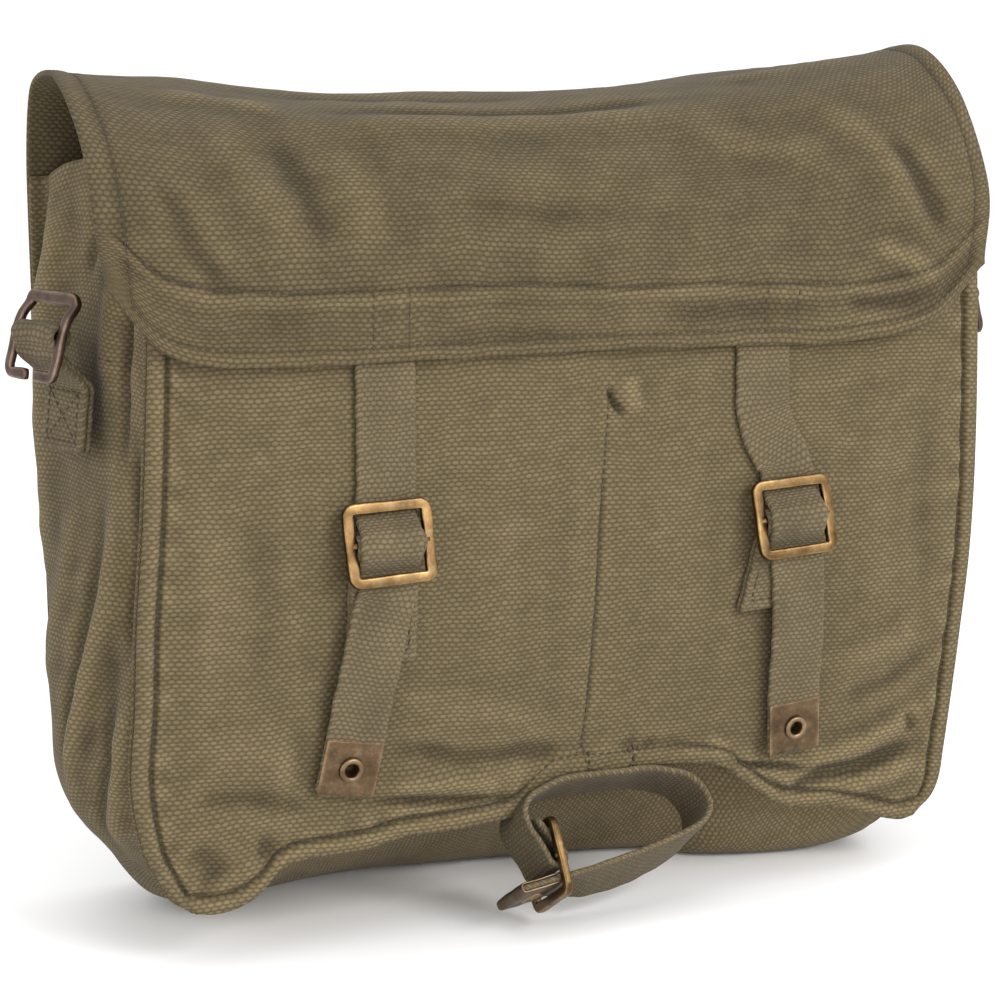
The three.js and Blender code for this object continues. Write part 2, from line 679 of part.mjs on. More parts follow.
// Webbing folded round a bar: a double layer from the sewn end at y = -length up to an eye round the
// bar at the origin, extruded along the bar. bend gives how far the double layer's middle lies behind it
function foldedWebbing(width, length, barRadius, bend) {
  const innerRadius = barRadius + pieceGap;
  const outerRadius = innerRadius + webbingWall;
  const outline = new THREE.Shape();
  const steps = 8;
  const leave = -outerRadius * 0.95;
  const half = webbingWall;
  const layerAt = (t) => mix(leave, -length, Math.pow(1 - t, 1.6));
  for (let i = 0; i <= steps; i += 1) {
    const y = layerAt(i / steps);
    if (i === 0) outline.moveTo(bend(y) + half, y);
    else outline.lineTo(bend(y) + half, y);
  }
  const arcs = 14;
  const open = Math.asin(Math.min(half / outerRadius, 1));
  for (let i = 0; i <= arcs; i += 1) {
    const angle = -Math.PI / 2 + open + (2 * Math.PI - 2 * open) * i / arcs;
    outline.lineTo(outerRadius * Math.cos(angle), outerRadius * Math.sin(angle));
  }
  for (let i = steps; i >= 0; i -= 1) {
    const y = layerAt(i / steps);
    outline.lineTo(bend(y) - half, y);
  }
  const hole = new THREE.Path();
  hole.absarc(0, 0, innerRadius / Math.cos(Math.PI / 12), 0, 2 * Math.PI);
  outline.holes.push(hole);
  const options = { depth: width, bevelEnabled: false, curveSegments: 12 };
  const geometry = new THREE.ExtrudeGeometry(outline, options);
  geometry.translate(0, 0, -width / 2);
  return geometry;
}

for (const strap of [leftStrap, rightStrap]) {
  const band = toSolid(strip(strapStations(strap, webbingWidth, 0, webbingWall)));
  const { end, basis } = tipFrame(strap);
  const place = basis.clone().setPosition(end);
  const cutter = toSolid(tipCutter(tipLength).applyMatrix4(place));
  addPiece(`flap_strap_${strap.name}`, fromSolid(band.subtract(cutter)), webbingCloth);
  const fold = new THREE.Vector3(0, -1, 0).transformDirection(basis).multiplyScalar(pieceGap).add(end);
  const tipPlace = basis.clone().setPosition(fold);
  const tip = tipGeometry(webbingWidth + 2 * tipOverhang, tipLength).applyMatrix4(tipPlace);
  addPiece(`strap_tip_${strap.name}`, tip, tipBrass);

  const { buckle, chape } = strap;
  const barY = bedding(strap, buckle.z) - barOut;
  const frame = addPiece(`buckle_${strap.name}`, buckleGeometry(), buckleBrass);
  frame.rotation.set(Math.PI / 2 - buckleLean, 0, 0);
  frame.rotateZ(buckle.turn);
  frame.position.set(buckle.x, barY, buckle.z);

  const length = buckle.z - chape.z;
  const layerBehind = barOut - pieceGap - webbingWall;
  const bend = (y) => -layerBehind * smoothStep(-eyeRadius, -2 * eyeRadius, y);
  const folded = foldedWebbing(webbingWidth, length, centreBar / 2, bend);
  const position = folded.attributes.position;
  for (let i = 0; i < position.count; i += 1) {
    const [out, along, beside] = [position.getX(i), position.getY(i), position.getZ(i)];
    const drift = Math.max(-along - eyeRadius, 0) / (length - eyeRadius);
    const height = buckle.z + along;
    const x = buckle.x - Math.sin(buckle.turn) * along - Math.cos(buckle.turn) * beside;
    const z = buckle.z + Math.cos(buckle.turn) * along - Math.sin(buckle.turn) * beside;
    const slant = drift * (chape.x - buckle.x);
    position.setXYZ(i, x + slant, bedding(strap, height) - barOut - out, z);
  }
  addPiece(`chape_${strap.name}`, folded, webbingCloth);
}

// Carrying loop: one webbing strip sewn on edge under the front seam. Its path lies in a plane that
// hangs forward and down from the seam: a runs across the bag, b down the plane, both in the tables as
// shares of the buckle's height. twist is how much lower the strip's far edge hangs than its near edge
const loopTilt = 0.56;
const loopSeat = bottomSeam(0.02) * bodyHeight - 0.8;
const loopPlace = new THREE.Vector3(0, frontY - 2, loopSeat);
const loopWidthway = new THREE.Vector3(0, Math.cos(loopTilt), -Math.sin(loopTilt));
const loopDown = new THREE.Vector3(0, -Math.sin(loopTilt), -Math.cos(loopTilt));
const loopBar = { a: -0.714 * buckleHeight, b: 0.964 * buckleHeight };
const beforeEye = [
  { a: -0.864, b: 0.482 },
  { a: -0.779, b: 0.625 },
  { a: -0.675, b: 0.786 },
];
const afterEye = [
  { a: -0.879, b: 0.804 },
  { a: -0.971, b: 0.589 },
  { a: -1.000, b: 0.393 },
  { a: -0.914, b: 0.214 },
  { a: -0.679, b: 0.086 },
  { a: -0.393, b: 0.000 },
  { a: 0.000, b: 0.000 },
  { a: 0.429, b: 0.000 },
  { a: 0.786, b: 0.000 },
  { a: 1.107, b: 0.079 },
  { a: 1.357, b: 0.179 },
  { a: 1.510, b: 0.385 },
  { a: 1.530, b: 0.589, twist: 0.03 },
  { a: 1.390, b: 0.775, twist: 0.08 },
  { a: 1.110, b: 0.890, twist: 0.14 },
  { a: 0.740, b: 0.975, twist: 0.18 },
  { a: 0.290, b: 1.070, twist: 0.20 },
  { a: -0.143, b: 1.150, twist: 0.16 },
  { a: -0.429, b: 1.190, twist: 0.07 },
  { a: -0.714, b: 1.229 },
  { a: -1.250, b: 1.300 },
];
const eyeTurns = 9;
const eyeMiddle = centreBar / 2 + 1.5 * pieceGap + webbingWall / 2;
const eyePath = [];
for (let i = 0; i <= eyeTurns; i += 1) {
  const angle = -0.3 + (Math.PI + 0.1) * i / eyeTurns;
  const [a, b] = [loopBar.a + eyeMiddle * Math.cos(angle), loopBar.b + eyeMiddle * Math.sin(angle)];
  eyePath.push({ a, b, twist: 0 });
}
const scaled = (rows) => rows.map(({ a, b, twist = 0 }) => (
  { a: a * buckleHeight, b: b * buckleHeight, twist: twist * buckleHeight }
));
const loopPath = [...scaled(beforeEye), ...eyePath, ...scaled(afterEye)];

function loopPoint(a, b, widthway) {
  return loopPlace.clone()
    .add(new THREE.Vector3(a, 0, 0))
    .addScaledVector(loopDown, b)
    .addScaledVector(loopWidthway, widthway);
}

const loopStations = loopPath.map((point, i) => {
  const before = loopPath[Math.max(i - 1, 0)];
  const after = loopPath[Math.min(i + 1, loopPath.length - 1)];
  const run = Math.hypot(after.a - before.a, after.b - before.b);
  const [sideA, sideB] = [-(after.b - before.b) / run, (after.a - before.a) / run];
  const corner = (side, widthway) => loopPoint(
    point.a + side * sideA * webbingWall / 2,
    point.b + side * sideB * webbingWall / 2 + point.twist * widthway / webbingWidth,
    widthway,
  );
  return [corner(-1, 0), corner(1, 0), corner(1, webbingWidth), corner(-1, webbingWidth)];
});

const loopEnd = loopPath[loopPath.length - 1];
const loopBefore = loopPath[loopPath.length - 2];
const loopRun = new THREE.Vector3(loopEnd.a - loopBefore.a, 0, 0)
  .addScaledVector(loopDown, loopEnd.b - loopBefore.b)
  .normalize();
const loopTipBasis = new THREE.Matrix4().makeBasis(
  loopWidthway,
  loopRun.clone().negate(),
  loopWidthway.clone().cross(loopRun).negate(),
);
const loopTipMiddle = loopPoint(loopEnd.a, loopEnd.b, webbingWidth / 2);
const loopTipPlace = loopTipBasis.clone().setPosition(loopTipMiddle);
const loopCutter = toSolid(tipCutter(loopTipLength).applyMatrix4(loopTipPlace));
addPiece('bottom_strap', fromSolid(toSolid(strip(loopStations)).subtract(loopCutter)), webbingCloth);

const loopTip = tipGeometry(webbingWidth + 2 * tipOverhang, loopTipLength);
loopTip.applyMatrix4(loopTipBasis.setPosition(loopTipMiddle.clone().addScaledVector(loopRun, pieceGap)));
addPiece('bottom_strap_tip', loopTip, tipBrass);

const loopBuckle = addPiece('bottom_buckle', buckleGeometry(), buckleBrass);
loopBuckle.applyMatrix4(new THREE.Matrix4().makeBasis(
  loopWidthway,
  loopDown,
  loopWidthway.clone().cross(loopDown),
).setPosition(loopPoint(loopBar.a, loopBar.b, webbingWidth / 2)));

// Side tabs and hooks. The tab is sewn to the gusset and folded over the hook's pin
const sewnLow = 0.634 * bodyHeight;
const sewnHigh = sewnLow + tabSewnLength;
const tabBack = 0.47;
const pinRise = 17;
const pinStandOff = 17;

function gussetSide(side, y, z) {
  const back = (y - frontY - flangeInset) / (bagDepth - 2 * flangeInset);
  let [low, high] = side < 0 ? [0, 1] : [3, 2];
  for (let i = 0; i < 24; i += 1) {
    const middle = (low + high) / 2;
    if (gussetPoint(middle, back).z > z) low = middle;
    else high = middle;
  }
  return new THREE.Vector3(gussetPoint((low + high) / 2, back).x, y, z);
}

// Bent cast hook: a frame open at its lower end, its two ends turned in, with a pin across its middle.
// Rows run down the frame: how far its middle lies in front of the pin and above it, as shares of the
// frame's height between the middles of its top and bottom bars
const hookProfile = [
  { out: -0.164, up: 0.477 },
  { out: -0.047, up: 0.234 },
  { out: 0.023, up: 0 },
  { out: 0.062, up: -0.273 },
  { out: 0.094, up: -0.523 },
].map((row) => ({ out: row.out * hookHeight, up: row.up * hookHeight }));
const hookHalf = webbingWidth / 2 + hookSideGap + hookBar / 2;

function hookGeometry() {
  const points = [];
  const add = (beside, out, up) => points.push(new THREE.Vector3(beside, up, out));
  const corner = 2.2;
  const [top] = hookProfile;
  const low = hookProfile[hookProfile.length - 1];
  add(-hookOpening / 2, low.out, low.up);
  add(-hookHalf + corner, low.out, low.up);
  for (let i = hookProfile.length - 1; i >= 0; i -= 1) {
    const row = hookProfile[i];
    const trim = row === top ? -corner : 0;
    add(-hookHalf, row.out, row.up + (row === low ? corner : trim));
  }
  add(-hookHalf + corner, top.out, top.up);
  const mirrored = points.slice().reverse().map((point) => new THREE.Vector3(-point.x, point.y, point.z));
  const path = [...points, ...mirrored];
  const stations = path.map((point, i) => {
    const before = path[Math.max(i - 1, 0)];
    const after = path[Math.min(i + 1, path.length - 1)];
    const run = after.clone().sub(before).normalize();
    const thick = new THREE.Vector3(0, 0, 1).addScaledVector(run, -run.z).normalize();
    const wide = run.clone().cross(thick);
    const offset = (w, t) => point.clone()
      .addScaledVector(wide, w * hookBar / 2)
      .addScaledVector(thick, t * hookBar / 2);
    return [offset(-1, -1), offset(-1, 1), offset(1, 1), offset(1, -1)];
  });
  const pin = new THREE.CylinderGeometry(hookPinRadius, hookPinRadius, 2 * hookHalf, 10);
  pin.rotateZ(Math.PI / 2);
  return fromSolid(toSolid(strip(stations)).add(toSolid(pin)));
}

for (const [name, side] of [['left', -1], ['right', 1]]) {
  const y = frontY + tabBack * bagDepth;
  const halfTab = webbingWidth / 2;
  const middleHeight = (sewnLow + sewnHigh) / 2;
  const ends = [-1, 1].map((end) => gussetSide(side, y + end * halfTab, middleHeight));
  const levels = [sewnLow, sewnHigh].map((z) => gussetSide(side, y, z));
  const beside = ends[1].clone().sub(ends[0]).normalize().multiplyScalar(side);
  const rise = levels[1].clone().sub(levels[0]);
  const upward = rise.addScaledVector(beside, -rise.dot(beside)).normalize();
  const outward = beside.clone().cross(upward).normalize();
  const seat = ends[0].clone().add(ends[1]).multiplyScalar(0.5);
  const shares = [-1, -0.6, -0.2, 0.2, 0.6, 1];
  const bows = shares.flatMap((t) => [sewnLow, middleHeight, sewnHigh].map(
    (z) => gussetSide(side, y + t * halfTab, z).sub(seat).dot(outward),
  ));
  const wallBow = Math.max(...bows);
  const pin = seat.clone()
    .addScaledVector(outward, pinStandOff)
    .addScaledVector(upward, tabSewnLength / 2 + pinRise);
  const layerBehind = pinStandOff - webbingWall - 2 * pieceGap - wallBow;
  const bend = (value) => -layerBehind * smoothStep(-0.3 * pinRise, -pinRise, value);
  const tab = foldedWebbing(webbingWidth, tabSewnLength + pinRise, hookPinRadius, bend);
  const tabBasis = new THREE.Matrix4().makeBasis(outward, upward, outward.clone().cross(upward));
  addPiece(`side_tab_${name}`, tab.applyMatrix4(tabBasis.setPosition(pin)), webbingCloth);
  const hookBasis = new THREE.Matrix4().makeBasis(beside, upward, outward).setPosition(pin);
  addPiece(`side_hook_${name}`, hookGeometry().applyMatrix4(hookBasis), hookBrass);
}

export default haversack;
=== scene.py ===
# Canvas haversack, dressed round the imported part. Sizes are in millimetres until a mesh is made, with
# +Z up, X across the bag and the front facing -Y, in the part's own frame.

import json
import math

import bmesh
import bpy
import numpy as np
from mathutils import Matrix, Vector


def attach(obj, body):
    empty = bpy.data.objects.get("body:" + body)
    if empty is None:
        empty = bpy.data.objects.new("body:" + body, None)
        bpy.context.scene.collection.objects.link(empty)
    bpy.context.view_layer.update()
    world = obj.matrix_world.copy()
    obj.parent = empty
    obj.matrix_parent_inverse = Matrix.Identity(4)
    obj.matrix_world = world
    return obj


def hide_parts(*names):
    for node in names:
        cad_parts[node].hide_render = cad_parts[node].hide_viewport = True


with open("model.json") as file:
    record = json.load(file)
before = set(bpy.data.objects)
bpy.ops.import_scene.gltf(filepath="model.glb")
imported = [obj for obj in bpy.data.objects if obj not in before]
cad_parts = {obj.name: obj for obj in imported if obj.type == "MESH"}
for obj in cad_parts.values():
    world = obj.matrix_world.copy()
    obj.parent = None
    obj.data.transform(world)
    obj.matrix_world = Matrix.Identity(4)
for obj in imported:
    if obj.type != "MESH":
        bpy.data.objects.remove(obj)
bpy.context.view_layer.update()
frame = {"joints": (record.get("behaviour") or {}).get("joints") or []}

# Studio
# The bag stands on a pale sweep under large soft lights. The camera stands a little left of the front
# and a little above it, as the photographer's did.
metre = 0.001
camera_turn = math.radians(25)
camera_rise = math.radians(10)
camera_distance = 0.960
camera_target = Vector((-0.007, -0.02624, 0.139))
camera_lens = 95.4

towards_camera = Vector((
    -math.sin(camera_turn) * math.cos(camera_rise),
    -math.cos(camera_turn) * math.cos(camera_rise),
    math.sin(camera_rise),
))
camera = bpy.data.objects.new("camera", bpy.data.cameras.new("camera"))
camera.data.lens = camera_lens
camera.data.sensor_width = 36
camera.data.clip_end = 60
camera.location = camera_target + towards_camera * camera_distance
camera.rotation_euler = towards_camera.to_track_quat("Z", "Y").to_euler()
bpy.context.collection.objects.link(camera)
bpy.context.scene.camera = camera
bpy.context.scene.view_settings.view_transform = "Standard"
bpy.context.scene.view_settings.exposure = 0.25

soft_lights = [
    {"name": "key_light", "place": (0.7, -1.9, 1.1), "size": 1.0, "watts": 31},
    {"name": "fill_light", "place": (-2.0, -0.6, 0.8), "size": 1.4, "watts": 8},
    {"name": "low_light", "place": (-0.2, -1.7, 0.12), "size": 0.9, "watts": 7},
    {"name": "top_light", "place": (-0.5, 0.3, 2.0), "size": 1.6, "watts": 5},
]
light_aim = Vector((0, 0, 0.12))
for light in soft_lights:
    lamp = bpy.data.lights.new(light["name"], "AREA")
    lamp.size = light["size"]
    lamp.energy = light["watts"]
    stand = bpy.data.objects.new(light["name"], lamp)
    stand.location = light["place"]
    stand.rotation_euler = (Vector(light["place"]) - light_aim).to_track_quat("Z", "Y").to_euler()
    bpy.context.collection.objects.link(stand)

surroundings = bpy.data.worlds.new("surroundings")
surroundings.use_nodes = True
sky = surroundings.node_tree.nodes["Background"]
sky.inputs["Color"].default_value = (1, 1, 1, 1)
sky.inputs["Strength"].default_value = 0.95
bpy.context.scene.world = surroundings

floor_reach = 12
floor_level = -0.0006
floor_corners = [
    (x * floor_reach, y * floor_reach, floor_level) for x, y in ((-1, -1), (1, -1), (1, 1), (-1, 1))]
floor_mesh = bpy.data.meshes.new("studio_floor")
floor_mesh.from_pydata(floor_corners, [], [(0, 1, 2, 3)])
studio_floor = bpy.data.objects.new("studio_floor", floor_mesh)
bpy.context.collection.objects.link(studio_floor)
floor_paint = bpy.data.materials.new("studio_floor")
floor_paint.use_nodes = True
floor_shader = floor_paint.node_tree.nodes["Principled BSDF"]
floor_shader.inputs["Base Color"].default_value = (0.93, 0.93, 0.93, 1)
floor_shader.inputs["Roughness"].default_value = 0.9
floor_mesh.materials.append(floor_paint)

# Front panel
# One sheet of heavy olive canvas. Its side and bottom edges are turned out with the gusset's in a sewn
# double welt, and a seam runs down its middle below a short slit.
half_width = 158.0
bag_depth = 104.0
body_height = 268.0
rest_line = 0.81
front_y = -rest_line * bag_depth
canvas_wall = 2.0
piece_gap = 0.3


def mix(a, b, t):
    return a + (b - a) * t


def smooth(low, high, value):
    t = np.clip((value - low) / (high - low), 0, 1)
    return t * t * (3 - 2 * t)


def follow(keys, values):
    """A smooth curve through given values, as a function of the key."""
    keys, values = np.asarray(keys, float), np.asarray(values, float)
    last = len(keys) - 1
    before, after = np.maximum(np.arange(last + 1) - 1, 0), np.minimum(np.arange(last + 1) + 1, last)
    slope = (values[after] - values[before]) / (keys[after] - keys[before])

    def at(value):
        value = np.clip(value, keys[0], keys[last])
        i = np.clip(np.searchsorted(keys, value, side="right") - 1, 0, last - 1)
        span = keys[i + 1] - keys[i]
        t = (value - keys[i]) / span
        rise = t * t * (3 - 2 * t)
        bend = t * (1 - t) ** 2 * slope[i] - t * t * (1 - t) * slope[i + 1]
        return values[i] * (1 - rise) + values[i + 1] * rise + span * bend
    return at


side_up = [0.00, 0.02, 0.05, 0.10, 0.20, 0.30, 0.43, 0.58, 0.78, 1.00]
left_side = follow(side_up, [-0.915, -0.958, -0.985, -1.018, -1.040, -1.030, -1.021, -1.003, -0.988, -0.975])
right_side = follow(side_up, [0.862, 0.902, 0.926, 0.938, 0.958, 0.976, 0.996, 1.004, 1.000, 0.985])
bottom_seam_table = [
    (-0.93, 0.078), (-0.87, 0.072), (-0.81, 0.078), (-0.765, 0.093), (-0.73, 0.115), (-0.69, 0.125),
    (-0.60, 0.128), (-0.52, 0.130), (-0.45, 0.138), (-0.35, 0.139), (-0.26, 0.140), (-0.19, 0.146),
    (-0.15, 0.160), (-0.12, 0.176), (-0.07, 0.192), (0.12, 0.190), (0.22, 0.189), (0.31, 0.182),
    (0.36, 0.172), (0.39, 0.157), (0.455, 0.126), (0.515, 0.108), (0.635, 0.098), (0.70, 0.087),
    (0.78, 0.072), (0.83, 0.066), (0.88, 0.073),
]
bottom_seam = follow(*zip(*bottom_seam_table))
front_top = 0.92
front_fullness = 5.0
broad_folds = [
    {"across": -0.24, "up": 0.195, "turn": 0.05, "length": 0.20, "width": 0.022, "rise": -0.8},
    {"across": -0.36, "up": 0.240, "turn": -0.35, "length": 0.24, "width": 0.045, "rise": 0.6},
    {"across": 0.46, "up": 0.190, "turn": -0.05, "length": 0.24, "width": 0.022, "rise": -0.9},
    {"across": 0.83, "up": 0.220, "turn": 0.65, "length": 0.16, "width": 0.025, "rise": -0.7},
    {"across": 0.02, "up": 0.450, "turn": 1.57, "length": 0.60, "width": 0.020, "rise": -0.25},
]


def broad_relief(across, up):
    relief = 0
    for fold in broad_folds:
        dx, dz = (across - fold["across"]) * half_width, (up - fold["up"]) * body_height
        cos, sin = math.cos(fold["turn"]), math.sin(fold["turn"])
        along = (dx * cos + dz * sin) / (fold["length"] * half_width)
        beside = (dz * cos - dx * sin) / (fold["width"] * body_height)
        relief = relief + fold["rise"] * np.exp(-along ** 2 - beside ** 2)
    return relief


def front_plane(share, height):
    """Y of the front's outer face, from shares of the half width and the body height."""
    low = bottom_seam(share)
    up = (height - low) / (front_top - low)
    across = 2 * (share - left_side(up)) / (right_side(up) - left_side(up)) - 1
    edge = np.maximum(1 - across ** 2, 0)
    seam_ease = smooth(0.02, 0.2, edge) * smooth(0.01, 0.1, up)
    fill = edge ** 0.7 * smooth(0, 0.35, up) * (1 - 0.45 * up ** 2)
    folds = seam_ease * broad_relief(share, height) * 3
    return front_y - front_fullness * fill - folds + 8 * smooth(0.9, 1, up)


def front_point(across, up):
    share = mix(left_side(up), right_side(up), (across + 1) / 2)
    height = mix(bottom_seam(share), front_top, up)
    return np.stack([share * half_width, front_plane(share, height), height * body_height], -1)


def ripple(x, y, length, seed):
    """Slow random waves of about one length, from -1 to 1, the same on every run."""
    dice = np.random.default_rng(seed)
    waves = 0
    for _ in range(9):
        turn, phase = dice.uniform(0, 2 * math.pi, 2)
        pace = 2 * math.pi / (length * dice.uniform(0.7, 1.5))
        waves = waves + np.sin(pace * (x * math.cos(turn) + y * math.sin(turn)) + phase)
    return waves / 4.5


def crease(x, y, path, width, height):
    """A ridge, or a valley where height is negative, that follows a short path and fades at its ends."""
    path = np.asarray(path, float)
    pieces = np.linalg.norm(np.diff(path, axis=0), axis=1)
    starts = np.concatenate([[0], np.cumsum(pieces)])
    nearest = np.full(np.shape(x), 1e9)
    share = np.zeros(np.shape(x))
    for a, b, start, piece in zip(path[:-1], path[1:], starts, pieces):
        run = (b - a) / piece
        t = np.clip((x - a[0]) * run[0] + (y - a[1]) * run[1], 0, piece)
        away = (x - a[0] - t * run[0]) ** 2 + (y - a[1] - t * run[1]) ** 2
        closer = away < nearest
        nearest = np.where(closer, away, nearest)
        share = np.where(closer, (start + t) / starts[-1], share)
    ends = smooth(0, 0.3, share) * smooth(1, 0.7, share)
    return height * (0.15 + 0.85 * ends) * np.exp(-nearest / width ** 2)


def rumpled(x, y, waves, creases):
    """Relief from a few random waves, as height, length and seed, and the listed creases."""
    relief = sum(height * ripple(x, y, length, seed) for height, length, seed in waves)
    return relief + sum(crease(x, y, path, width, height) for path, width, height in creases)


def outward_normals(points):
    a = np.gradient(points, axis=0)
    b = np.gradient(points, axis=1)
    normals = np.cross(a, b)
    return normals / np.maximum(np.linalg.norm(normals, axis=-1, keepdims=True), 1e-9)


inner_wear = -0.3


def cloth(name, points, uv, wall, wear_and_painted_shading):
    """A closed sheet over a grid of outer points, one wall thick, with a rounded rim all round.
    uv is the place on the flat cloth in millimetres. The last argument sets the tone from -1, darker, to 1,
    paler: rubbing and dirt in some places, and painted shade in valleys and painted highlight on ridges in
    others."""
    rows, columns = points.shape[:2]
    normals = outward_normals(points)
    inner = points - normals * wall
    number = np.arange(rows * columns).reshape(rows, columns)
    loop = np.concatenate([number[:-1, 0], number[-1, :-1], number[:0:-1, -1], number[0, :0:-1]])
    flat_points, flat_normals = points.reshape(-1, 3), normals.reshape(-1, 3)
    inside = points.copy()
    inside[0], inside[-1] = points[1], points[-2]
    inside[:, 0], inside[:, -1] = inside[:, 1], inside[:, -2]
    outwards = (points - inside).reshape(-1, 3)[loop]
    outwards -= flat_normals[loop] * (outwards * flat_normals[loop]).sum(1, keepdims=True)
    outwards /= np.maximum(np.linalg.norm(outwards, axis=1, keepdims=True), 1e-9)
    rim = []
    for depth, out in ((0.12, 0.6), (0.32, 0.92), (0.5, 1.0), (0.68, 0.92), (0.88, 0.6)):
        rim.append(flat_points[loop] - flat_normals[loop] * wall * depth + outwards * wall / 2 * out)
    total = rows * columns
    vertices = np.concatenate([flat_points, inner.reshape(-1, 3), *rim])
    a, b, c, d = number[:-1, :-1], number[1:, :-1], number[1:, 1:], number[:-1, 1:]
    faces = [np.stack([a, b, c, d], -1).reshape(-1, 4), np.stack([a, d, c, b], -1).reshape(-1, 4) + total]
    rings = [loop]
    for k in range(len(rim)):
        rings.append(2 * total + k * len(loop) + np.arange(len(loop)))
    rings.append(loop + total)
    for ring, below in zip(rings[:-1], rings[1:]):
        faces.append(np.stack([np.roll(ring, -1), ring, below, np.roll(below, -1)], -1))
    flat_uv = uv.reshape(-1, 2)
    rim_uv = [flat_uv[loop] + wall * 0.7 * (k + 1) / len(rim) for k in range(len(rim))]
    all_uv = np.concatenate([flat_uv, flat_uv, *rim_uv])
    tone_marks = wear_and_painted_shading.reshape(-1)
    all_wear_and_painted_shading = np.concatenate([tone_marks, np.full(total, inner_wear), *[tone_marks[loop]] * len(rim)])
    mesh = bpy.data.meshes.new(name)
    mesh.from_pydata((vertices * metre).tolist(), [], np.concatenate(faces).tolist())
    corners = np.zeros(len(mesh.loops), np.int32)
    mesh.loops.foreach_get("vertex_index", corners)
    layer = mesh.uv_layers.new(name="cloth")
    layer.data.foreach_set("uv", np.asarray(all_uv, np.float32)[corners].reshape(-1))
    return placed(name, mesh, all_wear_and_painted_shading)


def placed(name, mesh, wear_and_painted_shading):
    """Gives a mesh its tone attribute, which holds rubbing as well as painted shade and painted highlight,
    and smooth faces, and puts it in the scene.
    """
    layer = mesh.attributes.new("wear_and_painted_shading", "FLOAT", "POINT")
    layer.data.foreach_set("value", np.asarray(wear_and_painted_shading, np.float32))
    mesh.polygons.foreach_set("use_smooth", np.ones(len(mesh.polygons), bool))
    mesh.update()
    piece = bpy.data.objects.new(name, mesh)
    bpy.context.collection.objects.link(piece)
    return piece


def hollows(relief, reach):
    """Tone that follows the relief: painted highlight makes the ridges paler and painted shade makes the
    valleys darker.
    """
    near = relief.copy()
    for _ in range(reach):
        near[1:-1] = (near[:-2] + 2 * near[1:-1] + near[2:]) / 4
        near[:, 1:-1] = (near[:, :-2] + 2 * near[:, 1:-1] + near[:, 2:]) / 4
    return relief - near


class Socket:
    """A shader socket that takes part in Python arithmetic."""

    def __init__(self, tree, socket=None):
        self.tree, self.socket = tree, socket

    def node(self, kind, inputs=(), out=0, stops=None, **settings):
        made = self.tree.nodes.new(kind)
        for name, value in settings.items():
            setattr(made, name, value)
        for k, (place, colour) in enumerate(stops or []):
            elements = made.color_ramp.elements
            element = elements[k] if k < 2 else elements.new(place)
            element.position, element.color = place, (*colour, 1)
        for name, value in dict(inputs).items():
            if isinstance(value, Socket):
                self.tree.links.new(value.socket, made.inputs[name])
            else:
                made.inputs[name].default_value = value
        return Socket(self.tree, made.outputs[out])

    def math(self, operation, *values, clamp=False):
        return self.node("ShaderNodeMath", enumerate(values), operation=operation, use_clamp=clamp)

    def __add__(self, other):
        return self.math("ADD", self, other)

    def __radd__(self, other):
        return self.math("ADD", other, self)

    def __sub__(self, other):
        return self.math("SUBTRACT", self, other)

    def __rsub__(self, other):
        return self.math("SUBTRACT", other, self)

    def __mul__(self, other):
        return self.math("MULTIPLY", self, other)

    def __rmul__(self, other):
        return self.math("MULTIPLY", other, self)

    def __truediv__(self, other):
        return self.math("DIVIDE", self, other)

    def __pow__(self, other):
        return self.math("POWER", self, other)

    def clamped(self):
        return self.math("ADD", self, 0.0, clamp=True)

    def blended(self, low, high):
        """The colour or value between low and high at this share."""
        return self.node("ShaderNodeMix", {0: self, 6: low, 7: high}, out=2, data_type="RGBA")


def noise(start, vector, scale, detail=2.0, rough=0.5):
    return start.node("ShaderNodeTexNoise", {
        "Vector": vector, "Scale": scale, "Detail": detail, "Roughness": rough})


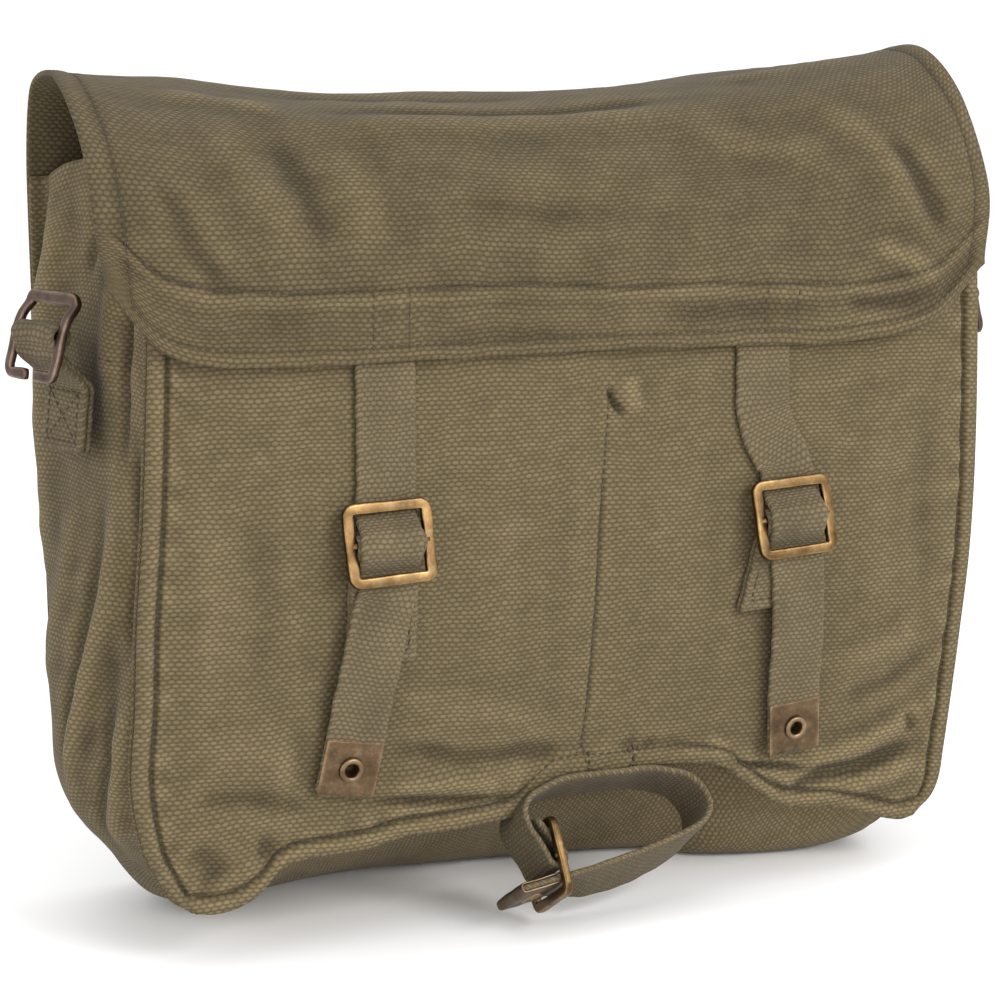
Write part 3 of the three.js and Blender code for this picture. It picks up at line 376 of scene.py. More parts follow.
def woven(name, pitch, row, gap_shade, face, float_highlight, roughness=0.92, depth=0.00024):
    """Plain-woven cotton: short soft floats in rows, each row half a float on from the last, in uneven
    yarn. The gaps between the floats are darkest, as painted shade, and the floats' backs palest, as a
    painted highlight."""
    material = bpy.data.materials.new(name)
    material.use_nodes = True
    tree = material.node_tree
    start = Socket(tree)
    place = start.node("ShaderNodeUVMap", uv_map="cloth")
    apart = place.node("ShaderNodeSeparateXYZ", {0: place})
    u = Socket(tree, apart.socket.node.outputs[0])
    v = Socket(tree, apart.socket.node.outputs[1])
    drift = noise(start, place, 0.035, 2.0)
    sway = noise(start, place, 0.16, 1.0)
    u = u + (sway - 0.5) * 0.9
    v = v + (drift - 0.5) * 5.0 + (noise(start, place, 0.30, 0.0) - 0.5) * 0.35
    rows = v / row
    line = rows.math("FLOOR", rows)
    in_row = (rows - line - 0.5) * 2.0
    across = u / pitch + line.math("MODULO", line, 2.0) * 0.5
    float_number = across.math("FLOOR", across)
    in_float = (across - float_number - 0.5) * 2.0
    cell = start.node("ShaderNodeCombineXYZ", {0: float_number, 1: line})
    chance = start.node("ShaderNodeTexWhiteNoise", {"Vector": cell}, noise_dimensions="3D")
    yarn = start.node("ShaderNodeTexWhiteNoise", {"W": line}, noise_dimensions="1D")
    bulge = (1.0 - in_float * in_float * 0.78 - in_row * in_row * 0.74).clamped() ** 1.25
    fuzz = noise(start, place, 1.7, 4.0, 0.72)
    height = bulge * (0.70 + chance * 0.45) + fuzz * 0.30

    wear_and_painted_shading = start.node("ShaderNodeAttribute", out=2, attribute_name="wear_and_painted_shading")
    weft = start.node("ShaderNodeMapping", {"Vector": place, "Scale": (0.018, 0.50, 1.0)})
    warp = start.node("ShaderNodeMapping", {"Vector": place, "Scale": (0.34, 0.012, 1.0)})
    streaks = (noise(start, weft, 1.0, 2.0) - 0.5) * 0.9 + (noise(start, warp, 1.0, 2.0) - 0.5) * 0.5
    cloud = noise(start, place, 0.020, 5.0, 0.66)
    # Painted shade in the gaps and painted highlight on the floats' backs, with a random tone for each float
    # and yarn.
    float_shading_and_tone = bulge * (0.70 + chance * 0.50 + yarn * 0.10) + (fuzz - 0.5) * 0.40 + 0.06
    low = (float_shading_and_tone * 2.0).clamped().blended((*gap_shade, 1), (*face, 1))
    colour = (float_shading_and_tone * 2.0 - 1.0).clamped().blended(low, (*float_highlight, 1))
    # The mesh's tone attribute adds painted shade in valleys and painted highlight on ridges, as well as
    # rubbing.
    tone = 1.0 + (cloud - 0.5) * 0.20 + streaks * 0.22 + wear_and_painted_shading * 0.42
    tone = start.math("MINIMUM", start.math("MAXIMUM", tone, 0.45), 1.45)
    colour = start.node("ShaderNodeVectorMath", {0: colour, 3: tone}, operation="SCALE")
    bump = start.node("ShaderNodeBump", {"Height": height, "Strength": 0.9, "Distance": depth})
    shader = tree.nodes["Principled BSDF"]
    tree.links.new(colour.socket, shader.inputs["Base Color"])
    tree.links.new(bump.socket, shader.inputs["Normal"])
    shader.inputs["Roughness"].default_value = roughness
    shader.inputs["Specular IOR Level"].default_value = 0.16
    shader.inputs["Sheen Weight"].default_value = 0.04
    shader.inputs["Sheen Roughness"].default_value = 0.5
    return material


canvas = woven(
    "olive_canvas", pitch=2.68, row=1.49,
    gap_shade=(0.0575, 0.0425, 0.0212), face=(0.0890, 0.0678, 0.0345), float_highlight=(0.1265, 0.0985, 0.0540),
)

front_columns, front_rows = 236, 150
row_crowding = 1.15
spread = np.linspace(-1, 1, 2001)
by_edges = np.exp(-((1 - np.abs(spread)) / 0.06) ** 2)
by_centre_seam = np.exp(-((spread - 0.015) / 0.04) ** 2)
crowding = np.cumsum(1 + 2.2 * by_edges + 1.6 * by_centre_seam)
crowding -= crowding[0]
front_even = np.interp(np.linspace(0, crowding[-1], front_columns), crowding, spread)
front_across = front_even[:, None] * np.ones((1, front_rows))
front_up = np.linspace(0, 1, front_rows)[None, :] ** row_crowding * np.ones((front_columns, 1))
front_points = front_point(front_across, front_up)
front_x, front_z = front_points[..., 0], front_points[..., 2]
centre_seam = [(5.0, 175.5), (3.6, 158), (0.8, 113), (-0.9, 78), (-2.4, 62), (-0.3, 53), (2, 47)]
slit_top = (5.3, 187)
front_creases = [
    (centre_seam, 0.9, -1.1),
    ([(-3, 176), (-4, 158), (-8, 78), (-9, 62)], 5, 0.5),
    ([slit_top, (6.8, 182), (10.7, 177)], 1.1, -3.4),
    ([(12, 192), (14, 184), (16, 176)], 3.5, 1.8),
    ([(-82, 50.4), (-61.5, 48.4), (-43, 46.4), (-29, 45.8)], 1.5, -3.4),
    ([(-82, 56), (-61, 54), (-43, 52), (-28, 52)], 3.6, 2.2),
    ([(-80, 68), (-65, 67), (-50, 63), (-35, 61.5), (-12, 60.6), (-1, 61)], 4.0, -2.4),
    ([(-80, 88), (-54, 80), (-28, 74), (-12, 73)], 7, 1.6),
    ([(-100, 100), (-92, 70), (-80, 50)], 6, -0.9),
    ([(35, 49.8), (57, 47.3), (79, 44.3), (88.5, 41.7), (95, 41.7)], 1.5, -3.6),
    ([(35, 55), (57, 53), (79, 50), (92, 47.5)], 3.8, 2.4),
    ([(80, 33.6), (98, 39.3), (110, 39.5), (125, 43), (138, 47)], 3.0, -4.4),
    ([(96, 46), (112, 48), (126, 53), (142, 62)], 4.2, 3.0),
    ([(86, 28), (104, 32), (122, 35), (138, 39)], 3.6, 2.2),
    ([(131, 59), (135, 51)], 2.6, -2.2),
    ([(96, 80), (118, 84), (140, 96)], 6, 1.3),
    ([(100, 66), (122, 71), (146, 84)], 4, -1.4),
    ([(10, 60), (30, 57), (44, 56)], 3, -1.5),
    ([(-150, 74), (-120, 72), (-92, 60)], 9, 1.6),
    ([(-148, 60), (-126, 57), (-98, 50)], 4, -1.3),
    ([(-146, 44), (-139, 36), (-134, 29)], 5, -1.8),
    ([(-124, 39), (-112, 39)], 4, -1.8),
    ([(-140, 165), (-136, 120), (-140, 84)], 9, 1.3),
    ([(-122, 160), (-118, 118), (-124, 84)], 7, -0.9),
    ([(120, 182), (114, 130), (122, 90)], 12, 1.3),
    ([(138, 180), (136, 140), (140, 100)], 7, -1.0),
    ([(-34, 160), (-38, 118), (-30, 88)], 12, 1.0),
    ([(36, 168), (34, 126), (30, 84)], 12, 1.0),
]
front_waves = [(0.50, 52, 3), (0.16, 17, 5), (0.07, 7, 6)]
front_relief = rumpled(front_x, front_z, front_waves, front_creases)
from_side = (1 - np.abs(front_across)) * half_width
from_bottom = front_up * (front_top * body_height - front_z[:, :1])
from_seam = np.minimum(from_side, from_bottom)
seam_run = np.where(from_side < from_bottom, front_z, front_x)
puckers = 0.35 * np.sin(seam_run / 2.4 + 2.6 * ripple(front_x, front_z, 30, 8))
puckers = puckers * np.exp(-((from_seam - 8) / 4) ** 2)
seam_in = 5.8
by_loop = smooth(-30, -20, front_x) * smooth(44, 32, front_x) * smooth(70, 60, front_z)
welt = 0.8 * np.exp(-((from_seam - 2.6) / 2.2) ** 2) - 1.9 * np.exp(-((from_seam - seam_in) / 0.9) ** 2)
welt = welt * (1 - by_loop)
front_relief = front_relief * smooth(0, 9, from_seam) + puckers + welt
under_straps = np.ones_like(front_x)
for strap_x, low, high in ((-80, 95, 225), (-92, 48, 120), (64, 150, 225), (74, 45, 160)):
    near = smooth(22, 14, np.abs(front_x - strap_x))
    near = near * smooth(low - 10, low, front_z) * smooth(high + 8, high, front_z)
    under_straps = under_straps * (1 - near)
front_relief = np.where(front_relief > 0, front_relief * under_straps, front_relief)
# Painted shade darkens the front's fold valleys and painted highlight lightens its ridges.
front_painted_shading = np.clip(hollows(front_relief, 14) * 1.3, -1, 1)
front_normals = outward_normals(front_points)
front_points = front_points + front_normals * front_relief[..., None]
front_uv = np.stack([front_x, front_z], -1)
front_panel = cloth("front_panel_cloth", front_points, front_uv, canvas_wall, front_painted_shading)
front_panel.data.materials.append(canvas)
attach(front_panel, "bag")
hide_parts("front_panel")

# Back panel and flap
# One long sheet: up the back, over the mouth and down over the front, where its corners are cut off
# at a slant and its hem is turned in and stitched.
sheet_along = [0.00, 0.02, 0.05, 0.10, 0.27, 0.53, 0.63, 0.75, 0.90, 1.00]
sheet_left = follow(sheet_along, [-0.76, -0.88, -0.96, -1.01, -1.025, -1.045, -1.045, -1.055, -1.07, -1.065])
sheet_right = follow(sheet_along, [0.76, 0.88, 0.93, 0.97, 0.99, 1.00, 1.00, 1.01, 1.01, 0.985])
section_across = [-1.00, -0.91, -0.72, -0.35, 0.00, 0.35, 0.62, 0.85, 1.00]
sheet_shape = {
    "back": [0.985, 0.985, 0.975, 0.960, 0.960, 0.960, 0.975, 0.985, 0.990],
    "crest": [1.095, 1.090, 1.083, 1.056, 1.062, 1.068, 1.090, 1.100, 1.106],
    "front": [1.075, 1.062, 1.043, 1.044, 1.040, 1.054, 1.072, 1.096, 1.122],
    "shoulder": [1.002, 0.995, 0.985, 0.990, 0.980, 0.985, 1.005, 1.030, 1.062],
    "brow": [0.905, 0.905, 0.905, 0.910, 0.900, 0.910, 0.920, 0.940, 0.945],
    "hem": [0.845, 0.775, 0.752, 0.750, 0.750, 0.747, 0.744, 0.765, 0.836],
    "front_in": [0.50, 0.40, 0.30, 0.28, 0.28, 0.28, 0.28, 0.34, 0.43],
    "shoulder_in": [0.24, 0.11, 0.08, 0.07, 0.06, 0.06, 0.06, 0.06, 0.18],
    "brow_in": [0.090, -0.030, -0.050, -0.060, -0.060, -0.060, -0.060, -0.055, -0.010],
    "hem_in": [-0.010, -0.070, -0.080, -0.080, -0.080, -0.085, -0.090, -0.100, -0.060],
}
sheet_shape = {name: follow(section_across, values) for name, values in sheet_shape.items()}
mouth_along = 0.53
webbing_wall = 2.2
flap_clearance = webbing_wall + canvas_wall + 2 * piece_gap + 0.4
flap_wrap = 0.975
hem_low, hem_side = 4.4, 6.5


def through(keys, values, at):
    """The same smooth curve where every value is an array of its own."""
    values = [np.broadcast_to(np.asarray(v, float), at.shape) for v in values]
    last = len(keys) - 1
    result = np.zeros(at.shape)
    for i in range(last):
        inside = (at >= keys[i]) & ((at < keys[i + 1]) | (i == last - 1))
        span = keys[i + 1] - keys[i]
        ends = []
        for k in (i, i + 1):
            low, high = max(k - 1, 0), min(k + 1, last)
            ends.append((values[high] - values[low]) / (keys[high] - keys[low]))
        t = np.clip((at - keys[i]) / span, 0, 1)
        rise = t * t * (3 - 2 * t)
        bend = t * (1 - t) ** 2 * ends[0] - t * t * (1 - t) * ends[1]
        result = np.where(inside, values[i] * (1 - rise) + values[i + 1] * rise + span * bend, result)
    return result


def sheet_point(across, along):
    at = {name: curve(across) for name, curve in sheet_shape.items()}
    keys = [0.00, 0.27, mouth_along, 0.585, 0.63, 0.75, 0.83, 0.90, 1.00]
    inward = through(keys, [1.00, 1.03, 1.00, 0.93, 0.75, at["front_in"], at["shoulder_in"], at["brow_in"],
                            at["hem_in"]], along)
    height = through(keys, [0.055, 0.50, at["back"] - 0.03, at["crest"] - 0.025, at["crest"], at["front"],
                            at["shoulder"], at["brow"], at["hem"]], along)
    share = mix(sheet_left(along), sheet_right(along), (across + 1) / 2)
    y = front_y + bag_depth * inward
    above = np.maximum(height - front_top, 0) * body_height
    beside = np.maximum(np.abs(share) - flap_wrap, 0) * half_width
    nearest = front_plane(share, np.minimum(height, front_top)) - flap_clearance
    lying = np.minimum(y, nearest + 1.2 * above + 3 * beside)
    y = mix(y, lying, smooth(0.78, 0.82, along))
    return np.stack([share * half_width, y, height * body_height], -1)


sheet_columns, sheet_rows = 180, 230
even = np.linspace(-1, 1, sheet_columns)
sheet_across = (even + 0.12 * np.sin(np.pi * even))[None, :] * np.ones((sheet_rows, 1))
sheet_way = np.linspace(0, 1, sheet_rows)[:, None] * np.ones((1, sheet_columns))
sheet_points = sheet_point(sheet_across, sheet_way)
steps = np.linalg.norm(np.diff(sheet_points[:, sheet_columns // 2], axis=0), axis=1)
sheet_length = np.concatenate([[0], np.cumsum(steps)])
sheet_x = sheet_points[..., 0]
sheet_run = sheet_length[:, None] * np.ones((1, sheet_columns))
rows_run = np.linalg.norm(np.diff(sheet_points, axis=0), axis=2)
own_run = np.concatenate([np.zeros((1, sheet_columns)), np.cumsum(rows_run, axis=0)])
from_hem = own_run[-1:] - own_run
from_edge = (1 - np.abs(sheet_across)) * half_width
flap_edge = np.minimum(from_edge, from_hem)
flap_creases = [
    ([(-92, 97), (-40, 96), (20, 98), (60, 100)], 4.5, -2.0),
    ([(-92, 86), (-40, 85), (20, 87), (60, 88)], 7, 1.3),
    ([(-140, 112), (-116, 104), (-96, 96)], 6, 1.8),
    ([(-128, 92), (-120, 60), (-112, 34)], 9, 1.5),
    ([(-108, 84), (-102, 56), (-98, 34)], 6, -1.4),
    ([(-88, 76), (-84, 52), (-82, 34)], 7, 0.9),
    ([(-60, 72), (-30, 62), (0, 60)], 8, 1.0),
    ([(-50, 52), (-20, 46), (20, 47)], 6, -0.8),
    ([(40, 84), (70, 70), (100, 66)], 8, 1.2),
    ([(96, 92), (112, 70), (126, 48)], 8, 1.4),
    ([(118, 74), (130, 50), (140, 26)], 4.5, -2.4),
    ([(104, 34), (122, 26), (136, 12)], 4, 1.6),
    ([(92, 14), (112, 12), (130, 9)], 3, -1.2),
    ([(-150, 60), (-142, 36), (-128, 18)], 5, -1.3),
    ([(-66, 14), (-30, 12), (10, 12)], 5, 0.8),
    ([(20, 10), (60, 12), (96, 12)], 5, -0.7),
    ([(-120, 140), (-60, 132), (0, 136)], 8, 1.6),
    ([(-100, 122), (-40, 118), (10, 120)], 5, -1.2),
    ([(60, 130), (100, 120), (140, 124)], 8, 1.3),
]
sheet_waves = [(0.65, 56, 11), (0.20, 19, 12), (0.07, 7, 13)]
sheet_relief = rumpled(sheet_x, sheet_run, sheet_waves, []) + rumpled(sheet_x, from_hem, [], flap_creases)


def band_above_hem(x):
    """Height of the band's stitched edge above the hem, at a place across the flap."""
    return 21.5 - 0.018 * x + 0.9 * ripple(x, 0 * x, 60, 4)


over_front = smooth(0.60, 0.66, sheet_way)
hem_in = mix(hem_side, hem_low, smooth(0, 30, from_edge) * smooth(30, 10, from_hem))
hem = 0.30 * np.exp(-((flap_edge - 2.4) / 1.9) ** 2) - 0.42 * np.exp(-((flap_edge - hem_in) / 1.0) ** 2)
above_band = from_hem - band_above_hem(sheet_x)
band = -0.7 * np.exp(-(above_band / 0.9) ** 2) + 0.5 * np.exp(-((above_band + 3) / 2.0) ** 2)
sheet_relief = sheet_relief * smooth(0, 8, flap_edge) + over_front * (hem + band * smooth(0, 6, from_edge))
# Painted shade and painted highlight follow the flap's folds, and the part lying over the front is painted
# darker overall as painted shade.
sheet_painted_shading = np.clip(hollows(sheet_relief, 14) * 1.3, -1, 1) - 0.52 * over_front
sheet_normals = outward_normals(sheet_points)
sheet_points = sheet_points + sheet_normals * sheet_relief[..., None]
cross_run = np.linalg.norm(np.diff(sheet_points, axis=1), axis=2)
cross_run = np.concatenate([np.zeros((sheet_rows, 1)), np.cumsum(cross_run, axis=1)], axis=1)
sheet_u = cross_run - cross_run[:, sheet_columns // 2][:, None]
sheet_uv = np.stack([sheet_u, sheet_run], -1)
back_flap = cloth("back_flap_cloth", sheet_points, sheet_uv, canvas_wall, sheet_painted_shading)
back_flap.data.materials.append(canvas)
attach(back_flap, "bag")
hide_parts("back_flap")

# Gusset
# One strip of canvas makes both sides and the base. Its edges are turned out against the front and
# the back in sewn welts, and its sides sag outwards in long upright folds.
seam_flange = 5.0
side_fullness = 16.0
left_fullness = 8.5
flange_inset = 2 * canvas_wall + 1.5 * piece_gap
gusset_seam_in = 7.4
belly_out = follow([0.00, 0.12, 0.25, 0.48, 0.70, 0.85, 0.95, 1.00],
                   [0.00, 0.22, 0.50, 0.95, 0.92, 0.62, 0.26, 0.00])
contact_from = follow([-1.00, -0.78, -0.62, -0.40, 0.00, 0.33, 0.43, 0.71, 1.00],
                      [0.70, 0.60, 0.78, 0.86, 0.74, 0.60, 0.42, 0.29, 0.40])


def seam_pair(way):
    below = (way >= 1) & (way <= 2)
    up = np.clip(np.where(way < 1, 1 - way, way - 2), 0, 1) ** 1.5
    across = np.where(below, (way - 1.5) * 2, np.where(way < 1, -1.0, 1.0))
    up = np.where(below, 0, up)
    return front_point(across, up), sheet_point(across, up * mouth_along)


def seam_outwards(way):
    step = 0.02
    before, after = seam_pair(np.maximum(way - step, 0)), seam_pair(np.minimum(way + step, 3))
    result = []
    for first, second in zip(before, after):
        turn = np.stack([second[..., 2] - first[..., 2], 0 * way, first[..., 0] - second[..., 0]], -1)
        result.append(turn / np.linalg.norm(turn, axis=-1, keepdims=True))
    return result


def gusset_point(way, back):
    front_edge, back_edge = seam_pair(way)
    front_out, back_out = seam_outwards(way)
    front_edge = front_edge + np.array([0, flange_inset, 0])
    back_edge = back_edge - np.array([0, flange_inset, 0])
    front_root = front_edge - front_out * seam_flange
    back_root = back_edge - back_out * seam_flange
    share = np.clip(back, 0, 1)[..., None]
    point = mix(front_root, back_root, share)
    outward = mix(front_out, back_out, share)
    outward = outward / np.linalg.norm(outward, axis=-1, keepdims=True)
    inner = np.clip(back, 0, 1)
    ease = 1 - 0.5 * smooth(0.25, 0, way) - 0.5 * smooth(2.75, 3, way)
    high_left = smooth(0.30, 0.55, point[..., 2] / body_height) * (point[..., 0] < 0)
    fullness = mix(side_fullness, left_fullness, high_left)
    point = point + outward * (fullness * np.abs(outward[..., 0]) * belly_out(inner) * ease)[..., None]
    mouth = smooth(0.2, 0, way) + smooth(2.8, 3, way)
    arch = np.sin(np.pi * inner)
    point[..., 2] += 0.045 * body_height * mouth * arch
    point[..., 0] -= np.sign(point[..., 0]) * 5 * mouth * arch
    underneath = smooth(0.35, 0.9, -outward[..., 2])
    contact = contact_from(point[..., 0] / half_width)
    slope = front_root[..., 2] * (1 - inner / contact)
    curve = front_root[..., 2] * (1 - smooth(-0.25 * contact, contact, inner)) * 1.2
    sagged = np.maximum(np.minimum(slope, curve), 0) + back_root[..., 2] * smooth(0.9, 1, inner)
    point[..., 2] = np.maximum(mix(point[..., 2], sagged, underneath), 0)
    corner = smooth(104, 150, np.abs(point[..., 0])) * smooth(46, 10, point[..., 2])
    corner = corner * smooth(0.02, 0.3, inner)
    point[..., 2] += corner * np.where(point[..., 0] < 0, 7.0, 4.0) * smooth(1.1, 0.7, inner)
    point[..., 0] -= corner * np.where(point[..., 0] < 0, -4.5, 1.0)
    front_welt = mix(front_root, front_edge, np.clip(-back, 0, 1)[..., None])
    back_welt = mix(back_root, back_edge, np.clip(back - 1, 0, 1)[..., None])
    point = np.where((back < 0)[..., None], front_welt, point)
    return np.where((back > 1)[..., None], back_welt, point)


side_rows, base_rows = 120, 150
gusset_ways = np.concatenate([
    np.linspace(0, 1, side_rows), np.linspace(1, 2, base_rows)[1:], np.linspace(2, 3, side_rows)[1:]])
gusset_backs = np.concatenate([[2, 1.7, 1.4, 1.15], np.linspace(1, 0, 54), [-0.15, -0.4, -0.7, -1]])
gusset_way = gusset_ways[:, None] * np.ones((1, len(gusset_backs)))
gusset_back = gusset_backs[None, :] * np.ones((len(gusset_ways), 1))
gusset_points = gusset_point(gusset_way, gusset_back)
for _ in range(3):
    middle = gusset_points[:, 1:-1]
    gusset_points[:, 1:-1] = (gusset_points[:, :-2] + 2 * middle + gusset_points[:, 2:]) / 4
gusset_points[..., 2] = np.maximum(gusset_points[..., 2], 0)
run = np.linalg.norm(np.diff(gusset_points[:, 30], axis=0), axis=1)
gusset_run = np.concatenate([[0], np.cumsum(run)])[:, None] * np.ones((1, len(gusset_backs)))
gusset_deep = np.clip(gusset_back, -0.05, 1.05) * bag_depth
on_side = 1 - smooth(0.85, 1.05, gusset_way) + smooth(1.95, 2.15, gusset_way)
gusset_z = gusset_points[..., 2]
gusset_creases = [
    ([(26, 262), (24, 215), (22, 170)], 2.4, -4.4),
    ([(40, 256), (36, 215), (33, 180)], 7, 3.4),
    ([(15, 175), (12, 140), (13, 104)], 3.0, -4.8),
    ([(27, 165), (27, 120), (38, 85), (54, 45)], 6, 4.2),
    ([(38, 150), (42, 100), (58, 56)], 4.5, -2.6),
    ([(62, 160), (64, 120), (72, 80)], 9, 2.4),
    ([(12, 90), (18, 60), (34, 30)], 5, 2.2),
    ([(20, 100), (24, 66), (40, 34)], 3.5, -2.2),
    ([(90, 262), (90, 215), (88, 150), (84, 100)], 13, 8.0),
    ([(58, 262), (56, 240), (60, 222)], 4, -2.6),
    ([(14, 244), (30, 238), (52, 242)], 4, 2.2),
    ([(16, 228), (34, 224), (50, 228)], 3.2, -2.0),
]
gusset_waves = [(0.8, 44, 21), (0.25, 15, 22)]
gusset_relief = rumpled(gusset_deep, gusset_run, gusset_waves, [])
gusset_relief = gusset_relief + on_side * rumpled(gusset_deep, gusset_z, [], gusset_creases)
gusset_edge = np.minimum(gusset_deep, bag_depth - gusset_deep)
gusset_relief = gusset_relief * smooth(1, 9, gusset_edge)
gusset_relief = gusset_relief * smooth(0, 6, gusset_z + 20 * on_side)
gusset_relief = np.where(on_side > 0.5, gusset_relief, np.minimum(gusset_relief, 0) * smooth(1, 8, gusset_z))
gusset_welt = 1.0 * np.exp(-((gusset_deep - 3.4) / 2.2) ** 2)
gusset_welt = gusset_welt - 1.5 * np.exp(-((gusset_deep - gusset_seam_in) / 1.3) ** 2)
gusset_relief = gusset_relief + on_side * gusset_welt
# Painted shade and painted highlight follow the gusset's folds. The base is painted much paler, as painted
# light standing in for the floor's bounce, and the sides are made paler towards their tops.
gusset_tone_and_shading = np.clip(hollows(gusset_relief, 12) * 1.2, -1, 1)
gusset_tone_and_shading = gusset_tone_and_shading + 0.95 * (1 - on_side) + 0.35 * on_side * smooth(190, 240, gusset_z)
gusset_normals = outward_normals(gusset_points)
gusset_points = gusset_points + gusset_normals * gusset_relief[..., None]
gusset_points[..., 2] = np.maximum(gusset_points[..., 2], 0)
across_gusset = np.linalg.norm(np.diff(gusset_points, axis=1), axis=2)
gusset_u = np.concatenate([np.zeros((len(gusset_ways), 1)), np.cumsum(across_gusset, axis=1)], axis=1)
gusset = cloth("gusset_cloth", gusset_points, np.stack([gusset_u, gusset_run], -1), canvas_wall, gusset_tone_and_shading)
gusset.data.materials.append(canvas)
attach(gusset, "bag")
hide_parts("gusset")

# Flap straps
# Two cotton webbings sewn under the flap. Each runs behind its buckle's top bar, over the centre bar
# and behind the lower bar, and hangs free to a folded brass tip.
webbing_width = 22.0
strap_play = 1.55
buckle_height = 28.0
buckle_bar = 3.2
buckle_wall = 3.0
centre_bar = 3.0
tip_length = 19.0
chape_level = 2 * webbing_wall + 2 * piece_gap
eye_radius = centre_bar / 2 + piece_gap + webbing_wall
top_bar_out = 2 * piece_gap + webbing_wall + buckle_wall / 2
low_bar_out = chape_level + webbing_wall + 3 * piece_gap + buckle_wall / 2
bar_out = (top_bar_out + low_bar_out) / 2
buckle_lean = math.asin((low_bar_out - top_bar_out) / (buckle_height - buckle_bar))
bar_level = bar_out + eye_radius + piece_gap
flap_straps = {
    "left": {
        "buckle": (-0.500, 0.526), "turn": 0.02, "chape": (-0.516, 0.377),
        "up": [0.209, 0.276, 0.366, 0.440, 0.474, 0.492, 0.526, 0.570, 0.817],
        "across": [-0.600, -0.581, -0.553, -0.525, -0.506, -0.502, -0.500, -0.500, -0.500],
    },
    "right": {
        "buckle": (0.475, 0.515), "turn": 0.05, "chape": (0.418, 0.396),
        "up": [0.190, 0.257, 0.347, 0.463, 0.490, 0.515, 0.555, 0.571, 0.590, 0.619, 0.657, 0.700, 0.817],
        "across": [0.503, 0.492, 0.488, 0.480, 0.477, 0.475, 0.472, 0.468, 0.454, 0.425, 0.403, 0.401, 0.402],
    },
}
strap_drawn_in, bar_drawn_in = 0.86, 0.905
free_shift, bar_shift = 1.4, -1.1
threading_above = [-0.500, -0.321, -0.229, -0.129, 0, 0.129, 0.207, 0.285, 0.380]
over_bar = [0, 0.02, 0.6, 0.9, 1, 0.88, 0.55, 0.2, 0]
over_chape = [1, 1, 0.1, 0, 0, 0, 0, 0, 0]


def unit(vectors):
    vectors = np.asarray(vectors, float)
    return vectors / np.maximum(np.linalg.norm(vectors, axis=-1, keepdims=True), 1e-9)


def on_body(place):
    return place[0] * half_width, place[1] * body_height


def bedding(strap, z):
    """The front's surface under a strap, its chape and its buckle, as one level across all three."""
    buckle_x, buckle_z = on_body(strap["buckle"])
    chape_x, _ = on_body(strap["chape"])
    low, high = min(buckle_x, chape_x) - webbing_width / 2, max(buckle_x, chape_x) + webbing_width / 2
    shares = np.linspace(low, high, 5) / half_width

    def level(height):
        return np.min([front_plane(share, np.asarray(height) / body_height) for share in shares], axis=0)
    under_buckle = min(level(buckle_z + t * buckle_height) for t in (-0.5, 0, 0.5))
    near = smooth(1.1 * buckle_height, 0.6 * buckle_height, np.abs(z - buckle_z))
    return mix(level(z), under_buckle, near)


def webbing_strip(name, line, sideways, width=webbing_width, columns=15):
    """A webbing along its middle line, with the direction across it at each point. Returns its outer
    points too, for the stitches."""
    line, sideways = np.asarray(line, float), np.asarray(sideways, float)
    run = unit(np.gradient(line, axis=0))
    face = unit(np.cross(sideways, run))
    across = np.linspace(-1, 1, columns)[:, None, None]
    length = np.concatenate([[0], np.cumsum(np.linalg.norm(np.diff(line, axis=0), axis=1))])
    half = np.broadcast_to(np.asarray(width, float), (len(line),))[:, None] / 2
    points = line[None] + across * (sideways * half)[None] + face[None] * webbing_wall / 2
    edge_waves = 0.16 * np.sin(length / 1.55 + 0.7 * np.sin(length / 9.0))
    points = points + across ** 5 * unit(sideways)[None] * edge_waves[None, :, None]
    u = across[..., 0] * webbing_width / 2 * np.ones((1, len(line)))
    v = length[None, :] * np.ones((columns, 1))
    ridge = 0.10 * ripple(u, v, 9, len(name)) + 0.25 * ripple(u * 0.4, v, 34, 7 + len(name))
    ridge = ridge * smooth(18, 30, np.minimum(v, length[-1] - v))
    points = points + face[None] * ridge[..., None]
    tone_marks = 0.22 * np.abs(across[..., 0]) ** 6 + 0.28 * ripple(u, v, 26, 3 * len(name)) * np.ones_like(u)
    piece = cloth(name, points, np.stack([u, v], -1), webbing_wall, tone_marks)
    return piece, points


def evenly(path, count):
    """Points spread evenly along a smooth curve through the given ones."""
    path = np.asarray(path, float)
    keys = np.concatenate([[0], np.cumsum(np.linalg.norm(np.diff(path, axis=0), axis=1))])
    curves = [follow(keys, path[:, k]) for k in range(path.shape[1])]
    fine = np.linspace(0, keys[-1], 12 * len(path))
    dense = np.stack([curve(fine) for curve in curves], -1)
    run = np.concatenate([[0], np.cumsum(np.linalg.norm(np.diff(dense[:, :3], axis=0), axis=1))])
    stops = np.linspace(0, run[-1], count)
    return np.stack([np.interp(stops, run, column) for column in dense.T], -1)


